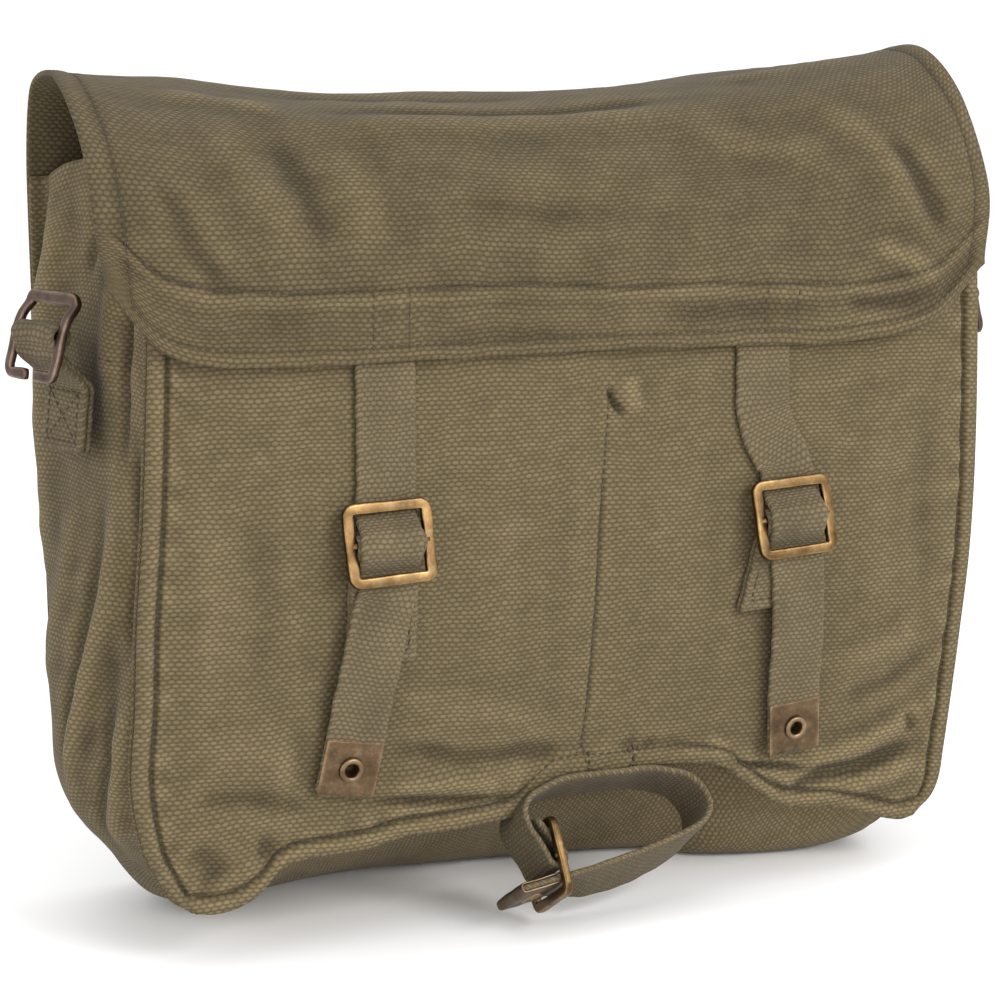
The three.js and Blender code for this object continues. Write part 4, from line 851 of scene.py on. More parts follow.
webbing = woven(
    "olive_webbing", pitch=2.6, row=1.5,
    gap_shade=(0.0600, 0.0450, 0.0238), face=(0.0920, 0.0708, 0.0385), float_highlight=(0.1260, 0.0990, 0.0590),
)
strap_grids = {}
strap_ends = {}
for side, strap in flap_straps.items():
    _, buckle_z = on_body(strap["buckle"])
    _, chape_z = on_body(strap["chape"])
    foot = strap["up"][0] * body_height
    above_tip = foot + 1.1 * tip_length
    around = buckle_z + np.array(threading_above) * buckle_height
    middle_x = follow(strap["up"], strap["across"])
    heights = np.linspace(foot, strap["up"][-1] * body_height, 130)
    on_bar = follow(around, over_bar)(heights)
    on_chape = follow(around, over_chape)(heights)
    below = heights < around[0]
    on_chape = np.where(below, mix(0.6, 1, smooth(above_tip, chape_z, heights)), on_chape)
    on_chape = np.where(heights < above_tip, mix(0.5, 0.6, smooth(foot, above_tip, heights)), on_chape)
    level = bedding(strap, heights) - piece_gap
    rise = on_bar * (bar_level - piece_gap) + on_chape * (chape_level - piece_gap)
    in_buckle = np.exp(-((heights - buckle_z) / 10) ** 2)
    x = middle_x(heights / body_height) * half_width + mix(free_shift, bar_shift, in_buckle)
    line = np.stack([x, level - rise - webbing_wall / 2, heights], -1)
    in_tip = heights < above_tip
    joins = int(in_tip.sum())
    line[:joins] = mix(line[0], line[joins], np.linspace(0, 1, joins, endpoint=False)[:, None])
    run = unit(np.gradient(line[:, [0, 2]], axis=0))
    run[:joins] = run[0]
    along_bar = np.array([math.cos(strap["turn"]), 0, math.sin(strap["turn"])])
    away = smooth(0.55 * buckle_height, 0.8 * buckle_height, np.abs(heights - buckle_z))[:, None]
    square = np.stack([run[:, 1], 0 * x, -run[:, 0]], -1)
    sideways = unit(mix(along_bar[None], square, away))
    drawn_in = mix(strap_drawn_in, bar_drawn_in, in_buckle)
    band_piece, strap_grids[side] = webbing_strip(
        f"flap_strap_{side}_webbing", line, sideways, width=webbing_width * drawn_in)
    band_piece.data.materials.append(webbing)
    strap["piece"] = band_piece
    down = unit(line[0] - line[6])
    across_end = unit(sideways[0] - down * (sideways[0] @ down))
    strap_ends[side] = (line[0], across_end, down, unit(np.cross(down, across_end)))

# Strap tips
# Each webbing end is closed in a folded sheet-brass plate with a riveted eyelet through it. The plates
# are dull copper-brown, with a little verdigris in spots.
tip_wall = 0.7
tip_overhang = 0.6
eyelet_bore = 2.4
eyelet_rim = 4.4


def brass(name, dark, face, bright, rough, green=0.0, grain=420.0, bump=0.00010):
    """Old brass: dark in the hollows, bright on the edges from rubbing and from painted highlight, with a
    fine cast or tarnished grain.
    """
    material = bpy.data.materials.new(name)
    material.use_nodes = True
    tree = material.node_tree
    start = Socket(tree)
    place = start.node("ShaderNodeTexCoord", out=3)
    wear_and_painted_shading = start.node("ShaderNodeAttribute", out=2, attribute_name="wear_and_painted_shading")
    patches = noise(start, place, grain * 0.28, 4.0, 0.62)
    fine = noise(start, place, grain * 2.6, 3.0, 0.65)
    spots = noise(start, place, grain * 0.9, 2.0, 0.5)
    # The tone attribute brightens the edges: partly rubbed brass, partly painted highlight.
    tone = ((patches - 0.5) * 1.5 + (fine - 0.5) * 0.5 + 0.42 + wear_and_painted_shading * 0.55).clamped()
    low = (tone * 2.0).clamped().blended((*dark, 1), (*face, 1))
    colour = (tone * 2.0 - 1.0).clamped().blended(low, (*bright, 1))
    crust = ((spots - 0.56 - wear_and_painted_shading * 0.10) * 9.0).clamped() * green
    colour = crust.blended(colour, (0.20, 0.30, 0.24, 1))
    bump_node = start.node("ShaderNodeBump", {
        "Height": patches * 0.7 + fine * 0.45 + crust * 0.4, "Strength": 0.8, "Distance": bump})
    shader = tree.nodes["Principled BSDF"]
    tree.links.new(colour.socket, shader.inputs["Base Color"])
    tree.links.new(bump_node.socket, shader.inputs["Normal"])
    tree.links.new((1.0 - crust * 0.8).socket, shader.inputs["Metallic"])
    tree.links.new((rough + (fine - 0.5) * 0.3 + crust * 0.3 - wear_and_painted_shading * 0.08).clamped().socket,
                   shader.inputs["Roughness"])
    return material


tip_brass = brass("tarnished_tip_brass", (0.050, 0.032, 0.018), (0.130, 0.084, 0.047), (0.30, 0.21, 0.125),
                  0.46, green=0.08)
buckle_brass = brass("worn_buckle_brass", (0.050, 0.030, 0.013), (0.155, 0.092, 0.038), (0.38, 0.25, 0.105),
                     0.36, green=0.05)
hook_brass = brass("dark_hook_brass", (0.045, 0.030, 0.024), (0.115, 0.078, 0.060), (0.26, 0.185, 0.14), 0.46)


def cast_piece(name, vertices, faces, wear_and_painted_shading):
    """A casting from faces of three and four corners together, with their sides turned outwards."""
    mesh = bpy.data.meshes.new(name)
    mesh.from_pydata((np.asarray(vertices) * metre).tolist(), [], [list(map(int, face)) for face in faces])
    work = bmesh.new()
    work.from_mesh(mesh)
    bmesh.ops.recalc_face_normals(work, faces=work.faces)
    work.to_mesh(mesh)
    work.free()
    return placed(name, mesh, wear_and_painted_shading)


def place_in(points, origin, axes):
    """Local points, right, up and out, put at an origin along its three axes."""
    return np.asarray(points, float) @ np.stack(axes) + origin


def lathe(profile, turns):
    """Vertices and faces of a ring, turned about its axis from a closed profile of radius and height."""
    profile = np.asarray(profile, float)
    angle = np.linspace(0, 2 * math.pi, turns, endpoint=False)
    radius, height = profile[:, 0], profile[:, 1]
    vertices = np.stack([
        radius[None] * np.cos(angle)[:, None], radius[None] * np.sin(angle)[:, None],
        height[None] * np.ones((turns, 1))], -1).reshape(-1, 3)
    count = len(profile)
    number = np.arange(turns * count).reshape(turns, count)
    a, b = number, np.roll(number, -1, axis=0)
    faces = np.stack([a, b, np.roll(b, -1, axis=1), np.roll(a, -1, axis=1)], -1).reshape(-1, 4)
    return vertices, faces


def drilled(piece, centre, axis, radius):
    """Cuts one round hole through a piece."""
    sides = 28
    radius, reach = radius * metre, 8 * metre
    up = Vector(axis).to_track_quat("Z", "Y").to_matrix()
    turns = np.linspace(0, 2 * math.pi, sides, endpoint=False)
    ring = [(radius * math.cos(t), radius * math.sin(t)) for t in turns]
    vertices = [Vector(centre * metre) + up @ Vector((x, y, z)) for z in (-reach, reach) for x, y in ring]
    faces = [tuple(reversed(range(sides))), tuple(range(sides, 2 * sides))]
    faces += [(k, (k + 1) % sides, sides + (k + 1) % sides, sides + k) for k in range(sides)]
    cutter_mesh = bpy.data.meshes.new("hole_cutter")
    cutter_mesh.from_pydata(vertices, [], faces)
    cutter = bpy.data.objects.new("hole_cutter", cutter_mesh)
    bpy.context.collection.objects.link(cutter)
    cut = piece.modifiers.new("eyelet_hole", "BOOLEAN")
    cut.operation = "DIFFERENCE"
    cut.solver = "EXACT"
    cut.object = cutter
    bpy.context.view_layer.update()
    drilled_mesh = bpy.data.meshes.new_from_object(piece.evaluated_get(bpy.context.evaluated_depsgraph_get()))
    piece.modifiers.clear()
    piece.data = drilled_mesh
    bpy.data.objects.remove(cutter)


def strap_tip(name, end, axes, length, node, drawn_in=1.0):
    """The folded plate and its eyelet. The fold lies just past the webbing's end."""
    across, back, out = axes
    half = webbing_width / 2 * drawn_in + tip_overhang
    slot = webbing_wall / 2 + piece_gap + tip_wall / 2
    nose = [(length * share, slot, 0) for share in (1, 0.8, 0.6, 0.4, 0.2)]
    nose += [(1.2, slot, 0), (0.2, slot * 0.96, 0), (-0.35, slot * 0.55, 0), (-0.5, 0.0, 0),
             (-0.35, -slot * 0.55, 0), (0.2, -slot * 0.96, 0), (1.2, -slot, 0)]
    nose += [(length * share, -slot, 0) for share in (0.3, 0.65, 1)]
    columns, rows = 25, 60
    nose = evenly(nose, rows)
    t = np.linspace(-1, 1, columns)
    local = np.stack([
        t[:, None] * half * np.ones((1, rows)),
        nose[None, :, 0] * np.ones((columns, 1)),
        nose[None, :, 1] * np.ones((columns, 1))], -1)
    dents = 0.10 * ripple(local[..., 0], local[..., 1] + 30 * np.sign(local[..., 2]), 8, len(name))
    pinch = 0.16 * np.abs(t[:, None]) ** 4
    scale = 1 - pinch * np.abs(local[..., 2]) / slot
    local[..., 2] = local[..., 2] * scale + dents * np.sign(local[..., 2])
    local = local + outward_normals(local) * tip_wall / 2
    points = place_in(local, end, (across, back, out))
    flat_uv = np.stack([local[..., 0], nose[None, :, 1] * np.ones((columns, 1))], -1)
    at_sides = np.clip(1 - (1 - np.abs(t[:, None])) * 9, 0, 1)
    at_fold = np.clip(1 - np.abs(nose[None, :, 0] + 0.5) / 1.2, 0, 1)
    rub = np.clip(at_sides + at_fold, 0, 1) * 0.7 - 0.15
    plate = cloth(name, points, flat_uv, tip_wall, rub * np.ones((columns, rows)))
    hole_at = place_in([0, length * 0.5, 0], end, (across, back, out))
    drilled(plate, hole_at, out, eyelet_bore + 0.5)
    top = slot + tip_wall / 2
    middle, reach = (eyelet_bore + eyelet_rim) / 2, (eyelet_rim - eyelet_bore) / 2
    arc = np.linspace(0, math.pi, 9)
    upper = [(middle + reach * math.cos(turn), top - 0.1 + 0.75 * math.sin(turn)) for turn in arc]
    lower = [(r, -z) for r, z in reversed(upper)]
    shaft = [(eyelet_bore + 0.6, -top * 0.6), (eyelet_bore + 0.6, top * 0.6)]
    profile = [*upper, (eyelet_bore - 0.1, 0), *lower, *shaft]
    ring, ring_faces = lathe(profile, 30)
    ring[:, 1] += length * 0.5
    ring_wear = np.full(len(ring), 0.40)
    eyelet = cast_piece(name + "_eyelet", place_in(ring, end, (across, back, out)), ring_faces, ring_wear)
    for piece in (plate, eyelet):
        piece.data.materials.clear()
        piece.data.materials.append(tip_brass)
        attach(piece, "bag")
    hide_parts(node)
    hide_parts(node)
    return hole_at


for side, strap in flap_straps.items():
    end, across_end, down, out = strap_ends[side]
    axes = (across_end, -down, -out)
    hole_at = strap_tip(f"strap_tip_{side}_plate", end + down * piece_gap, axes, tip_length,
                        f"strap_tip_{side}", strap_drawn_in)
    drilled(strap["piece"], hole_at, out, eyelet_bore + 0.7)
    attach(strap["piece"], "bag")
    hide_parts(f"flap_strap_{side}")

# Buckles
# Cast brass frames with rounded corners and a round centre bar, which the chape is folded round. They
# have no tongue, and their edges are paler yellow, partly where handling has rubbed them and partly as a
# painted highlight.
buckle_width = webbing_width + 2 * (strap_play + buckle_bar)


def section_ring(width, thick, power, count=20):
    """A rounded rectangle as points round a bar, and how far each lies towards a corner. The smaller the
    power the squarer its corners."""
    angle = np.linspace(0, 2 * math.pi, count, endpoint=False) + math.pi / count
    x, y = np.cos(angle), np.sin(angle)
    across = np.sign(x) * np.abs(x) ** power * width / 2
    upright = np.sign(y) * np.abs(y) ** power * thick / 2
    return np.stack([across, upright], -1), np.abs(np.sin(2 * angle)) ** 2


def swept(path, sideways, ring, closed):
    """A bar swept along a path; sideways is the section's first axis at each point."""
    path, sideways = np.asarray(path, float), np.asarray(sideways, float)
    before, after = np.roll(path, 1, axis=0), np.roll(path, -1, axis=0)
    if not closed:
        before[0], after[-1] = path[0], path[-1]
    run = unit(after - before)
    sideways = unit(sideways - run * (sideways * run).sum(-1, keepdims=True))
    up = np.cross(run, sideways)
    rings = ring if ring.ndim == 3 else np.broadcast_to(ring, (len(path), *ring.shape))
    vertices = path[:, None] + rings[..., :1] * sideways[:, None] + rings[..., 1:] * up[:, None]
    count = rings.shape[1]
    number = np.arange(len(path) * count).reshape(len(path), count)
    last = len(path) if closed else len(path) - 1
    a = number[:last]
    b = np.roll(number, -1, axis=0)[:last]
    faces = np.stack([a, b, np.roll(b, -1, axis=1), np.roll(a, -1, axis=1)], -1)[..., ::-1].reshape(-1, 4)
    return vertices.reshape(-1, 3), faces, number


def bulged_caps(vertices, faces, number, reach):
    """Closes a swept bar's two ends with low domes."""
    vertices, faces = list(map(tuple, vertices)), faces.tolist()
    grid = np.asarray(vertices).reshape(*number.shape, 3)
    for end, inward, turn in ((0, 1, 1), (-1, -2, -1)):
        ring = grid[end]
        centre = ring.mean(0)
        out = unit(centre - grid[inward].mean(0))
        previous = list(number[end])
        for shrink, push in ((0.8, 0.55), (0.45, 0.9)):
            start = len(vertices)
            vertices += [tuple(centre + (p - centre) * shrink + out * reach * push) for p in ring]
            fresh = list(range(start, start + len(ring)))
            for k in range(len(ring)):
                n = (k + 1) % len(ring)
                quad = [previous[k], previous[n], fresh[n], fresh[k]]
                faces.append(quad[::turn])
            previous = fresh
        vertices.append(tuple(centre + out * reach))
        tip_index = len(vertices) - 1
        for k in range(len(ring)):
            n = (k + 1) % len(ring)
            tri = [previous[k], previous[n], tip_index]
            faces.append(tri[::turn])
    return np.asarray(vertices), faces


def round_bar(first, last, sideways, radius, stations):
    """A round bar between two points, with low domed ends."""
    angle = np.linspace(0, 2 * math.pi, 14, endpoint=False)
    ring = np.stack([np.cos(angle), np.sin(angle)], -1) * radius
    path = mix(np.asarray(first, float), np.asarray(last, float), np.linspace(0, 1, stations)[:, None])
    return bulged_caps(*swept(path, np.tile(sideways, (stations, 1)), ring, False), 0.3)


def rounded_corners(width, height, radius, steps=7):
    """Points round a rectangle whose corners are arcs, in order, with none repeated."""
    points = []
    for cx, cy, turn in ((1, 1, 0), (-1, 1, 90), (-1, -1, 180), (1, -1, 270)):
        for angle in np.radians(np.linspace(turn, turn + 90, steps)):
            points.append((cx * (width / 2 - radius) + radius * math.cos(angle),
                           cy * (height / 2 - radius) + radius * math.sin(angle)))
    full = []
    for (x0, y0), (x1, y1) in zip(points, points[1:] + points[:1]):
        parts = max(1, int(math.hypot(x1 - x0, y1 - y0) / 2.5))
        full += [(x0 + (x1 - x0) * k / parts, y0 + (y1 - y0) * k / parts) for k in range(parts)]
    return np.asarray(full)


def cast_buckle(name, centre, axes, node, seed):
    cast_bar = buckle_bar + 0.5
    path = rounded_corners(buckle_width - cast_bar, buckle_height - cast_bar, 2.4)
    wobble = [ripple(path[:, 0], path[:, 1], 16, seed), ripple(path[:, 0], path[:, 1], 19, seed + 1)]
    path = path + 0.14 * np.stack(wobble, -1)
    local = np.concatenate([path, np.zeros((len(path), 1))], -1)
    run = unit(np.roll(local, -1, axis=0) - np.roll(local, 1, axis=0))
    inward = unit(np.cross(run, np.array([0, 0, 1.0])))
    ring, corner = section_ring(cast_bar, buckle_wall * 0.9, 0.42)
    rings = np.broadcast_to(ring, (len(path), *ring.shape)).copy()
    rings *= (1 + 0.05 * ripple(path[:, 0], path[:, 1], 9, seed + 2))[:, None, None]
    vertices, faces, _ = swept(local, inward, rings, True)
    # The section's corners are made paler: partly rubbed brass, partly a painted highlight along the edges.
    wear_and_painted_shading = np.tile(corner * 0.9 - 0.25, len(path))
    bar_end = buckle_width / 2 - buckle_bar * 0.6
    bar, bar_faces = round_bar((-bar_end, 0, 0), (bar_end, 0, 0), (0, 1.0, 0), centre_bar / 2, 12)
    total = len(vertices)
    vertices = np.concatenate([vertices, bar])
    all_faces = faces.tolist() + [[n + total for n in face] for face in bar_faces]
    wear_and_painted_shading = np.concatenate([wear_and_painted_shading, np.full(len(bar), 0.1)])
    piece = cast_piece(name, place_in(vertices, centre, axes), all_faces, wear_and_painted_shading)
    piece.data.materials.append(buckle_brass)
    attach(piece, "bag")
    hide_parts(node)


stand = math.pi / 2 - buckle_lean
stood_up = np.array([
    [1, 0, 0],
    [0, math.cos(stand), math.sin(stand)],
    [0, -math.sin(stand), math.cos(stand)],
])
for side, strap in flap_straps.items():
    buckle_x, buckle_z = on_body(strap["buckle"])
    bar_y = bedding(strap, buckle_z) - bar_out
    cos, sin = math.cos(strap["turn"]), math.sin(strap["turn"])
    turned = np.array([[cos, sin, 0], [-sin, cos, 0], [0, 0, 1]])
    cast_buckle(f"buckle_{side}_frame", np.array([buckle_x, bar_y, buckle_z]), turned @ stood_up,
                f"buckle_{side}", 31 + len(side))

# Chapes
# A short cotton webbing holds each flap buckle. It is folded round the centre bar, and both its layers
# are sewn to the front under the strap.
chape_behind = bar_out - piece_gap - webbing_wall
chape_eye = centre_bar / 2 + piece_gap + webbing_wall / 2
chape_opening = math.asin(min(webbing_wall / 2 / chape_eye, 1)) + 0.35


def folded_webbing(behind, lows, eye_radius, opening, eye_points, count):
    """A webbing folded round a bar: up its back layer, round the eye and down the front layer. Gives the
    distance out from the bar and the distance along the fold."""
    turns = np.linspace(-math.pi / 2 - opening, -math.pi / 2 + opening - 2 * math.pi, eye_points)
    profile = [(out - webbing_wall / 2, along, 0) for out, along in zip(behind, lows)]
    profile += [(eye_radius * math.cos(a), eye_radius * math.sin(a), 0) for a in turns]
    profile += [(out + webbing_wall / 2, along, 0) for out, along in zip(behind[::-1], lows[::-1])]
    profile = evenly(profile, count)
    return profile[:, 0], profile[:, 1]


for side, strap in flap_straps.items():
    buckle_x, buckle_z = on_body(strap["buckle"])
    chape_x, chape_z = on_body(strap["chape"])
    length = buckle_z - chape_z
    lows = -length + (length - eye_radius * 1.3) * np.linspace(0, 1, 20)
    behind = -chape_behind * smooth(-eye_radius, -2 * eye_radius, lows)
    out, along = folded_webbing(behind, lows, chape_eye, chape_opening, 24, 110)
    drift = np.maximum(-along - eye_radius, 0) / (length - eye_radius)
    x = buckle_x - math.sin(strap["turn"]) * along + drift * (chape_x - buckle_x)
    z = buckle_z + math.cos(strap["turn"]) * along
    y = bedding(strap, buckle_z + along) - bar_out - out
    sideways = np.tile([math.cos(strap["turn"]), 0, math.sin(strap["turn"])], (len(x), 1))
    chape, strap["chape_grid"] = webbing_strip(f"chape_{side}_webbing", np.stack([x, y, z], -1), -sideways)
    chape.data.materials.append(webbing)
    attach(chape, "bag")
    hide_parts(f"chape_{side}")

# Carrying loop
# One cotton webbing strip, sewn on edge under the front seam. It loops forward, is buckled back on
# itself and ends in a brass tip.
loop_tilt = 0.56
loop_seat = float(bottom_seam(0.02)) * body_height - 0.8
loop_place = np.array([0, front_y - 2, loop_seat])
loop_widthway = np.array([0, math.cos(loop_tilt), -math.sin(loop_tilt)])
loop_down = np.array([0, -math.sin(loop_tilt), -math.cos(loop_tilt)])
loop_bar = np.array([-0.714, 0.964]) * buckle_height
before_eye = [(-0.864, 0.482, 0), (-0.779, 0.625, 0), (-0.675, 0.786, 0)]
after_eye = [
    (-0.879, 0.804, 0), (-0.971, 0.589, 0), (-1.000, 0.393, 0), (-0.914, 0.214, 0), (-0.679, 0.086, 0),
    (-0.393, 0.000, 0), (0.000, 0.000, 0), (0.429, 0.000, 0), (0.786, 0.000, 0), (1.107, 0.079, 0),
    (1.357, 0.179, 0), (1.510, 0.385, 0), (1.530, 0.589, 0.03), (1.390, 0.775, 0.08), (1.110, 0.890, 0.14),
    (0.740, 0.975, 0.18), (0.290, 1.070, 0.20), (-0.143, 1.150, 0.16), (-0.429, 1.190, 0.07),
    (-0.714, 1.229, 0), (-1.250, 1.300, 0),
]
eye_middle = centre_bar / 2 + 1.5 * piece_gap + webbing_wall / 2
eye_turn = -0.3 + (math.pi + 0.1) * np.linspace(0, 1, 10)
eye_path = eye_middle * np.stack([np.cos(eye_turn), np.sin(eye_turn), 0 * eye_turn], -1)
eye_path = eye_path + np.array([*loop_bar, 0])
loop_path = np.concatenate([
    np.array(before_eye) * buckle_height, eye_path, np.array(after_eye) * buckle_height])
loop_path = evenly(loop_path, 190)


def loop_point(a, b, widthway):
    return (loop_place + np.array([1, 0, 0]) * np.asarray(a)[..., None] + loop_down * np.asarray(b)[..., None]
            + loop_widthway * np.asarray(widthway)[..., None])


twist = loop_path[:, 2]
loop_line = loop_point(loop_path[:, 0], loop_path[:, 1] + twist / 2, np.full(len(twist), webbing_width / 2))
loop_sideways = unit(loop_widthway[None] + loop_down[None] * (twist / webbing_width)[:, None])
bottom_strap, _ = webbing_strip("bottom_strap_webbing", loop_line, loop_sideways)
bottom_strap.data.materials.append(webbing)
loop_end, loop_before = loop_line[-1], loop_line[-5]
loop_run = unit(loop_end - loop_before)
loop_axes = (loop_widthway, -loop_run, unit(np.cross(loop_widthway, -loop_run)))
loop_tip_length = 15.0
loop_hole = strap_tip("bottom_strap_tip_plate", loop_end + loop_run * piece_gap, loop_axes, loop_tip_length,
                      "bottom_strap_tip")
drilled(bottom_strap, loop_hole, loop_axes[2], eyelet_bore + 0.7)
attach(bottom_strap, "bag")
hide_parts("bottom_strap")
cast_buckle("bottom_buckle_frame", loop_point(*loop_bar, webbing_width / 2),
            np.stack([loop_widthway, loop_down, np.cross(loop_widthway, loop_down)]), "bottom_buckle", 47)

# Side tabs and hooks
# At each side a short webbing is sewn to the gusset and folded over the pin of a bent cast hook, open
# below. The hook can tip a little in the fold, about its pin.
tab_sewn_length = 20.0
pin_rise = 17.0
pin_stand_off = 17.0
pin_radius = 1.6
hook_height = 25.6
hook_bar = 2.6
hook_opening = 6.4
hook_corner = 2.2
hook_width = 1.42 * hook_bar
hook_half = webbing_width / 2 + 0.5 + hook_width / 2
hook_profile = hook_height * np.array([
    (0.094, -0.523), (0.062, -0.273), (0.023, 0.0), (-0.047, 0.234), (-0.164, 0.477)])
side_tabs = {
    "left": {"up": (0.1163, 0.0354, 0.9926), "bow": 1.13},
    "right": {"up": (-0.0779, 0.0134, 0.9969), "bow": 1.16},
}
hook_pins = {joint["child"]: joint for joint in frame["joints"]}
tab_eye = pin_radius + piece_gap + webbing_wall / 2


def hook_outline():
    """The hook's middle line, from one end of its opening round to the other: across, out and up."""
    low, top = hook_profile[0], hook_profile[-1]
    side, cut = -hook_half, 0.35 * hook_corner
    half = [(-hook_opening / 2, *low), (side * 0.65, *low), (side + hook_corner, *low)]
    half += [(side + cut, low[0], low[1] + cut * 0.6), (side, low[0], low[1] + hook_corner)]
    half += [(side - 0.25 * math.sin(k), *row) for k, row in zip((1.0, 1.57, 1.0), hook_profile[1:-1])]
    half += [(side, top[0] + 0.1 * hook_corner, top[1] - hook_corner)]
    half += [(side + cut, top[0], top[1] - cut * 0.6)]
    half += [(side + hook_corner, *top), (side * 0.45, *top), (0, *top)]
    return evenly(half + [(-b, o, u) for b, o, u in half[-2::-1]], 120)


for side, place in side_tabs.items():
    pin = np.array(hook_pins[f"hook_{side}"]["pos_m"]) / metre
    beside, up = unit(hook_pins[f"hook_{side}"]["axis"]), unit(place["up"])
    out = unit(np.cross(beside, up))
    layer_behind = pin_stand_off - webbing_wall - 2 * piece_gap - place["bow"]
    lows = mix(-tab_sewn_length - pin_rise, -tab_eye * 1.5, np.linspace(0, 1, 24))
    behind = -layer_behind * smooth(-0.3 * pin_rise, -pin_rise, lows)
    away, along = folded_webbing(behind, lows, tab_eye, 0.7, 22, 120)
    line = pin + away[:, None] * out + along[:, None] * up
    tab, place["grid"] = webbing_strip(f"side_tab_{side}_webbing", line, np.tile(-beside, (len(line), 1)))
    tab.data.materials.append(webbing)
    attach(tab, "bag")
    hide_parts(f"side_tab_{side}")

    path = hook_outline()
    line = pin + path[:, :1] * beside + path[:, 1:2] * out + path[:, 2:] * up
    ring, corner_share = section_ring(hook_width, hook_bar * 0.95, 0.50)
    wide = 1 + 0.16 * smooth(0.25, 0.45, path[:, 2] / hook_height)
    rings = ring[None] * np.stack([wide, np.ones(len(path))], -1)[:, None]
    rings = rings * (1 + 0.06 * ripple(path[:, 0], path[:, 2], 8, 61))[:, None, None]
    run = unit(np.gradient(line, axis=0))
    vertices, faces, number = swept(line, unit(np.cross(run, out)), rings, False)
    vertices, faces = bulged_caps(vertices, faces, number, 0.8)
    end_wear = np.full(len(vertices) - number.size, 0.3)
    # The section's corners are made paler: partly rubbed brass, partly a painted highlight along the edges.
    wear_and_painted_shading = np.concatenate([np.tile(corner_share * 0.8 - 0.2, len(path)), end_wear])
    pin_reach = (hook_half - 0.4) * beside
    bar, bar_faces = round_bar(pin - pin_reach, pin + pin_reach, out, pin_radius, 14)
    faces = faces + [[n + len(vertices) for n in face] for face in bar_faces]
    wear_and_painted_shading = np.concatenate([wear_and_painted_shading, np.zeros(len(bar))])
    hook = cast_piece(f"side_hook_{side}_casting", np.concatenate([vertices, bar]), faces, wear_and_painted_shading)
    hook.data.materials.append(hook_brass)
    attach(hook, f"hook_{side}")
    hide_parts(f"side_hook_{side}")

# Stitches
# Dark cotton thread in running stitches: round the flap's hem, along its band and in boxes over the
# straps, along the welts and the centre seam, over the loop, and where the chapes and tabs are sewn on.
thread = bpy.data.materials.new("dark_thread")
thread.use_nodes = True
thread_start = Socket(thread.node_tree)
thread_place = thread_start.node("ShaderNodeTexCoord", out=3)
thread_shader = thread.node_tree.nodes["Principled BSDF"]
dark_twist, pale_twist = (0.020, 0.0145, 0.0070, 1), (0.058, 0.043, 0.021, 1)
thread_colour = noise(thread_start, thread_place, 900.0, 2.0).blended(dark_twist, pale_twist)
thread.node_tree.links.new(thread_colour.socket, thread_shader.inputs["Base Color"])
thread_shader.inputs["Roughness"].default_value = 0.9


def stitching_tree():
    """Threads one low-poly stitch after another along every edge path, at one pitch."""
    tree = bpy.data.node_groups.new("stitching", "GeometryNodeTree")
    named = [("Path", "Geometry", None), ("Pitch", "Float", 0.003), ("Half length", "Float", 0.00112),
             ("Half thickness", "Float", 0.00040), ("Seed", "Int", 7), ("Thread", "Material", None)]
    for name, kind, value in named:
        socket = tree.interface.new_socket(name, in_out="INPUT", socket_type="NodeSocket" + kind)
        if value is not None:
            socket.default_value = value
    tree.interface.new_socket("Stitches", in_out="OUTPUT", socket_type="NodeSocketGeometry")

    def add(kind, links=(), **settings):
        made = tree.nodes.new(kind)
        for name, value in settings.items():
            setattr(made, name, value)
        for name, value in dict(links).items():
            if isinstance(value, bpy.types.NodeSocket):
                tree.links.new(value, made.inputs[name])
            else:
                made.inputs[name].default_value = value
        return made
    given = add("NodeGroupInput").outputs
    curve = add("GeometryNodeMeshToCurve", {"Mesh": given["Path"]})
    spots = add("GeometryNodeResampleCurve", {
        "Curve": curve.outputs[0], "Length": given["Pitch"]}, mode="LENGTH")
    bead = add("GeometryNodeMeshUVSphere", {"Segments": 6, "Rings": 5, "Radius": 1.0})
    form = add("ShaderNodeCombineXYZ", {
        "X": given["Half thickness"], "Y": given["Half thickness"], "Z": given["Half length"]})
    stitch = add("GeometryNodeTransform", {"Geometry": bead.outputs[0], "Scale": form.outputs[0]})
    tangent = add("GeometryNodeInputTangent")
    lie = add("FunctionNodeAlignRotationToVector", {"Vector": tangent.outputs[0]}, axis="Z")
    uneven = add("FunctionNodeRandomValue", {"Seed": given["Seed"]}, data_type="FLOAT_VECTOR")
    uneven.inputs[0].default_value = (0.75, 0.75, 0.8)
    uneven.inputs[1].default_value = (1.2, 1.2, 1.12)
    laid = add("GeometryNodeInstanceOnPoints", {
        "Points": spots.outputs[0], "Instance": stitch.outputs[0], "Rotation": lie.outputs[0],
        "Scale": uneven.outputs[0]})
    real = add("GeometryNodeRealizeInstances", {"Geometry": laid.outputs[0]})
    soft = add("GeometryNodeSetShadeSmooth", {"Geometry": real.outputs[0]})
    dyed = add("GeometryNodeSetMaterial", {"Geometry": soft.outputs[0], "Material": given["Thread"]})
    add("NodeGroupOutput", {"Stitches": dyed.outputs[0]})
    return tree


def on_grid(points, i, j):
    """Points of a grid at fractional rows and columns."""
    i, j = np.broadcast_arrays(np.clip(i, 0, points.shape[0] - 1.001), np.clip(j, 0, points.shape[1] - 1.001))
    a, b = i.astype(int), j.astype(int)
    s, t = (i - a)[:, None], (j - b)[:, None]
    return (points[a, b] * (1 - s) * (1 - t) + points[a + 1, b] * s * (1 - t)
            + points[a, b + 1] * (1 - s) * t + points[a + 1, b + 1] * s * t)


def front_column(across):
    return np.interp(across, front_even, np.arange(front_columns))


def front_row(up):
    return up ** (1 / row_crowding) * (front_rows - 1)


def on_front(x, z):
    """The front's surface at places given in millimetres across and up."""
    x, z = np.broadcast_arrays(np.asarray(x, float), np.asarray(z, float))
    low = bottom_seam(x / half_width)
    up = np.clip((z / body_height - low) / (front_top - low), 0, 1)
    left, right = left_side(up), right_side(up)
    across = 2 * (x / half_width - left) / (right - left) - 1
    return on_grid(front_points, front_column(across), front_row(up))


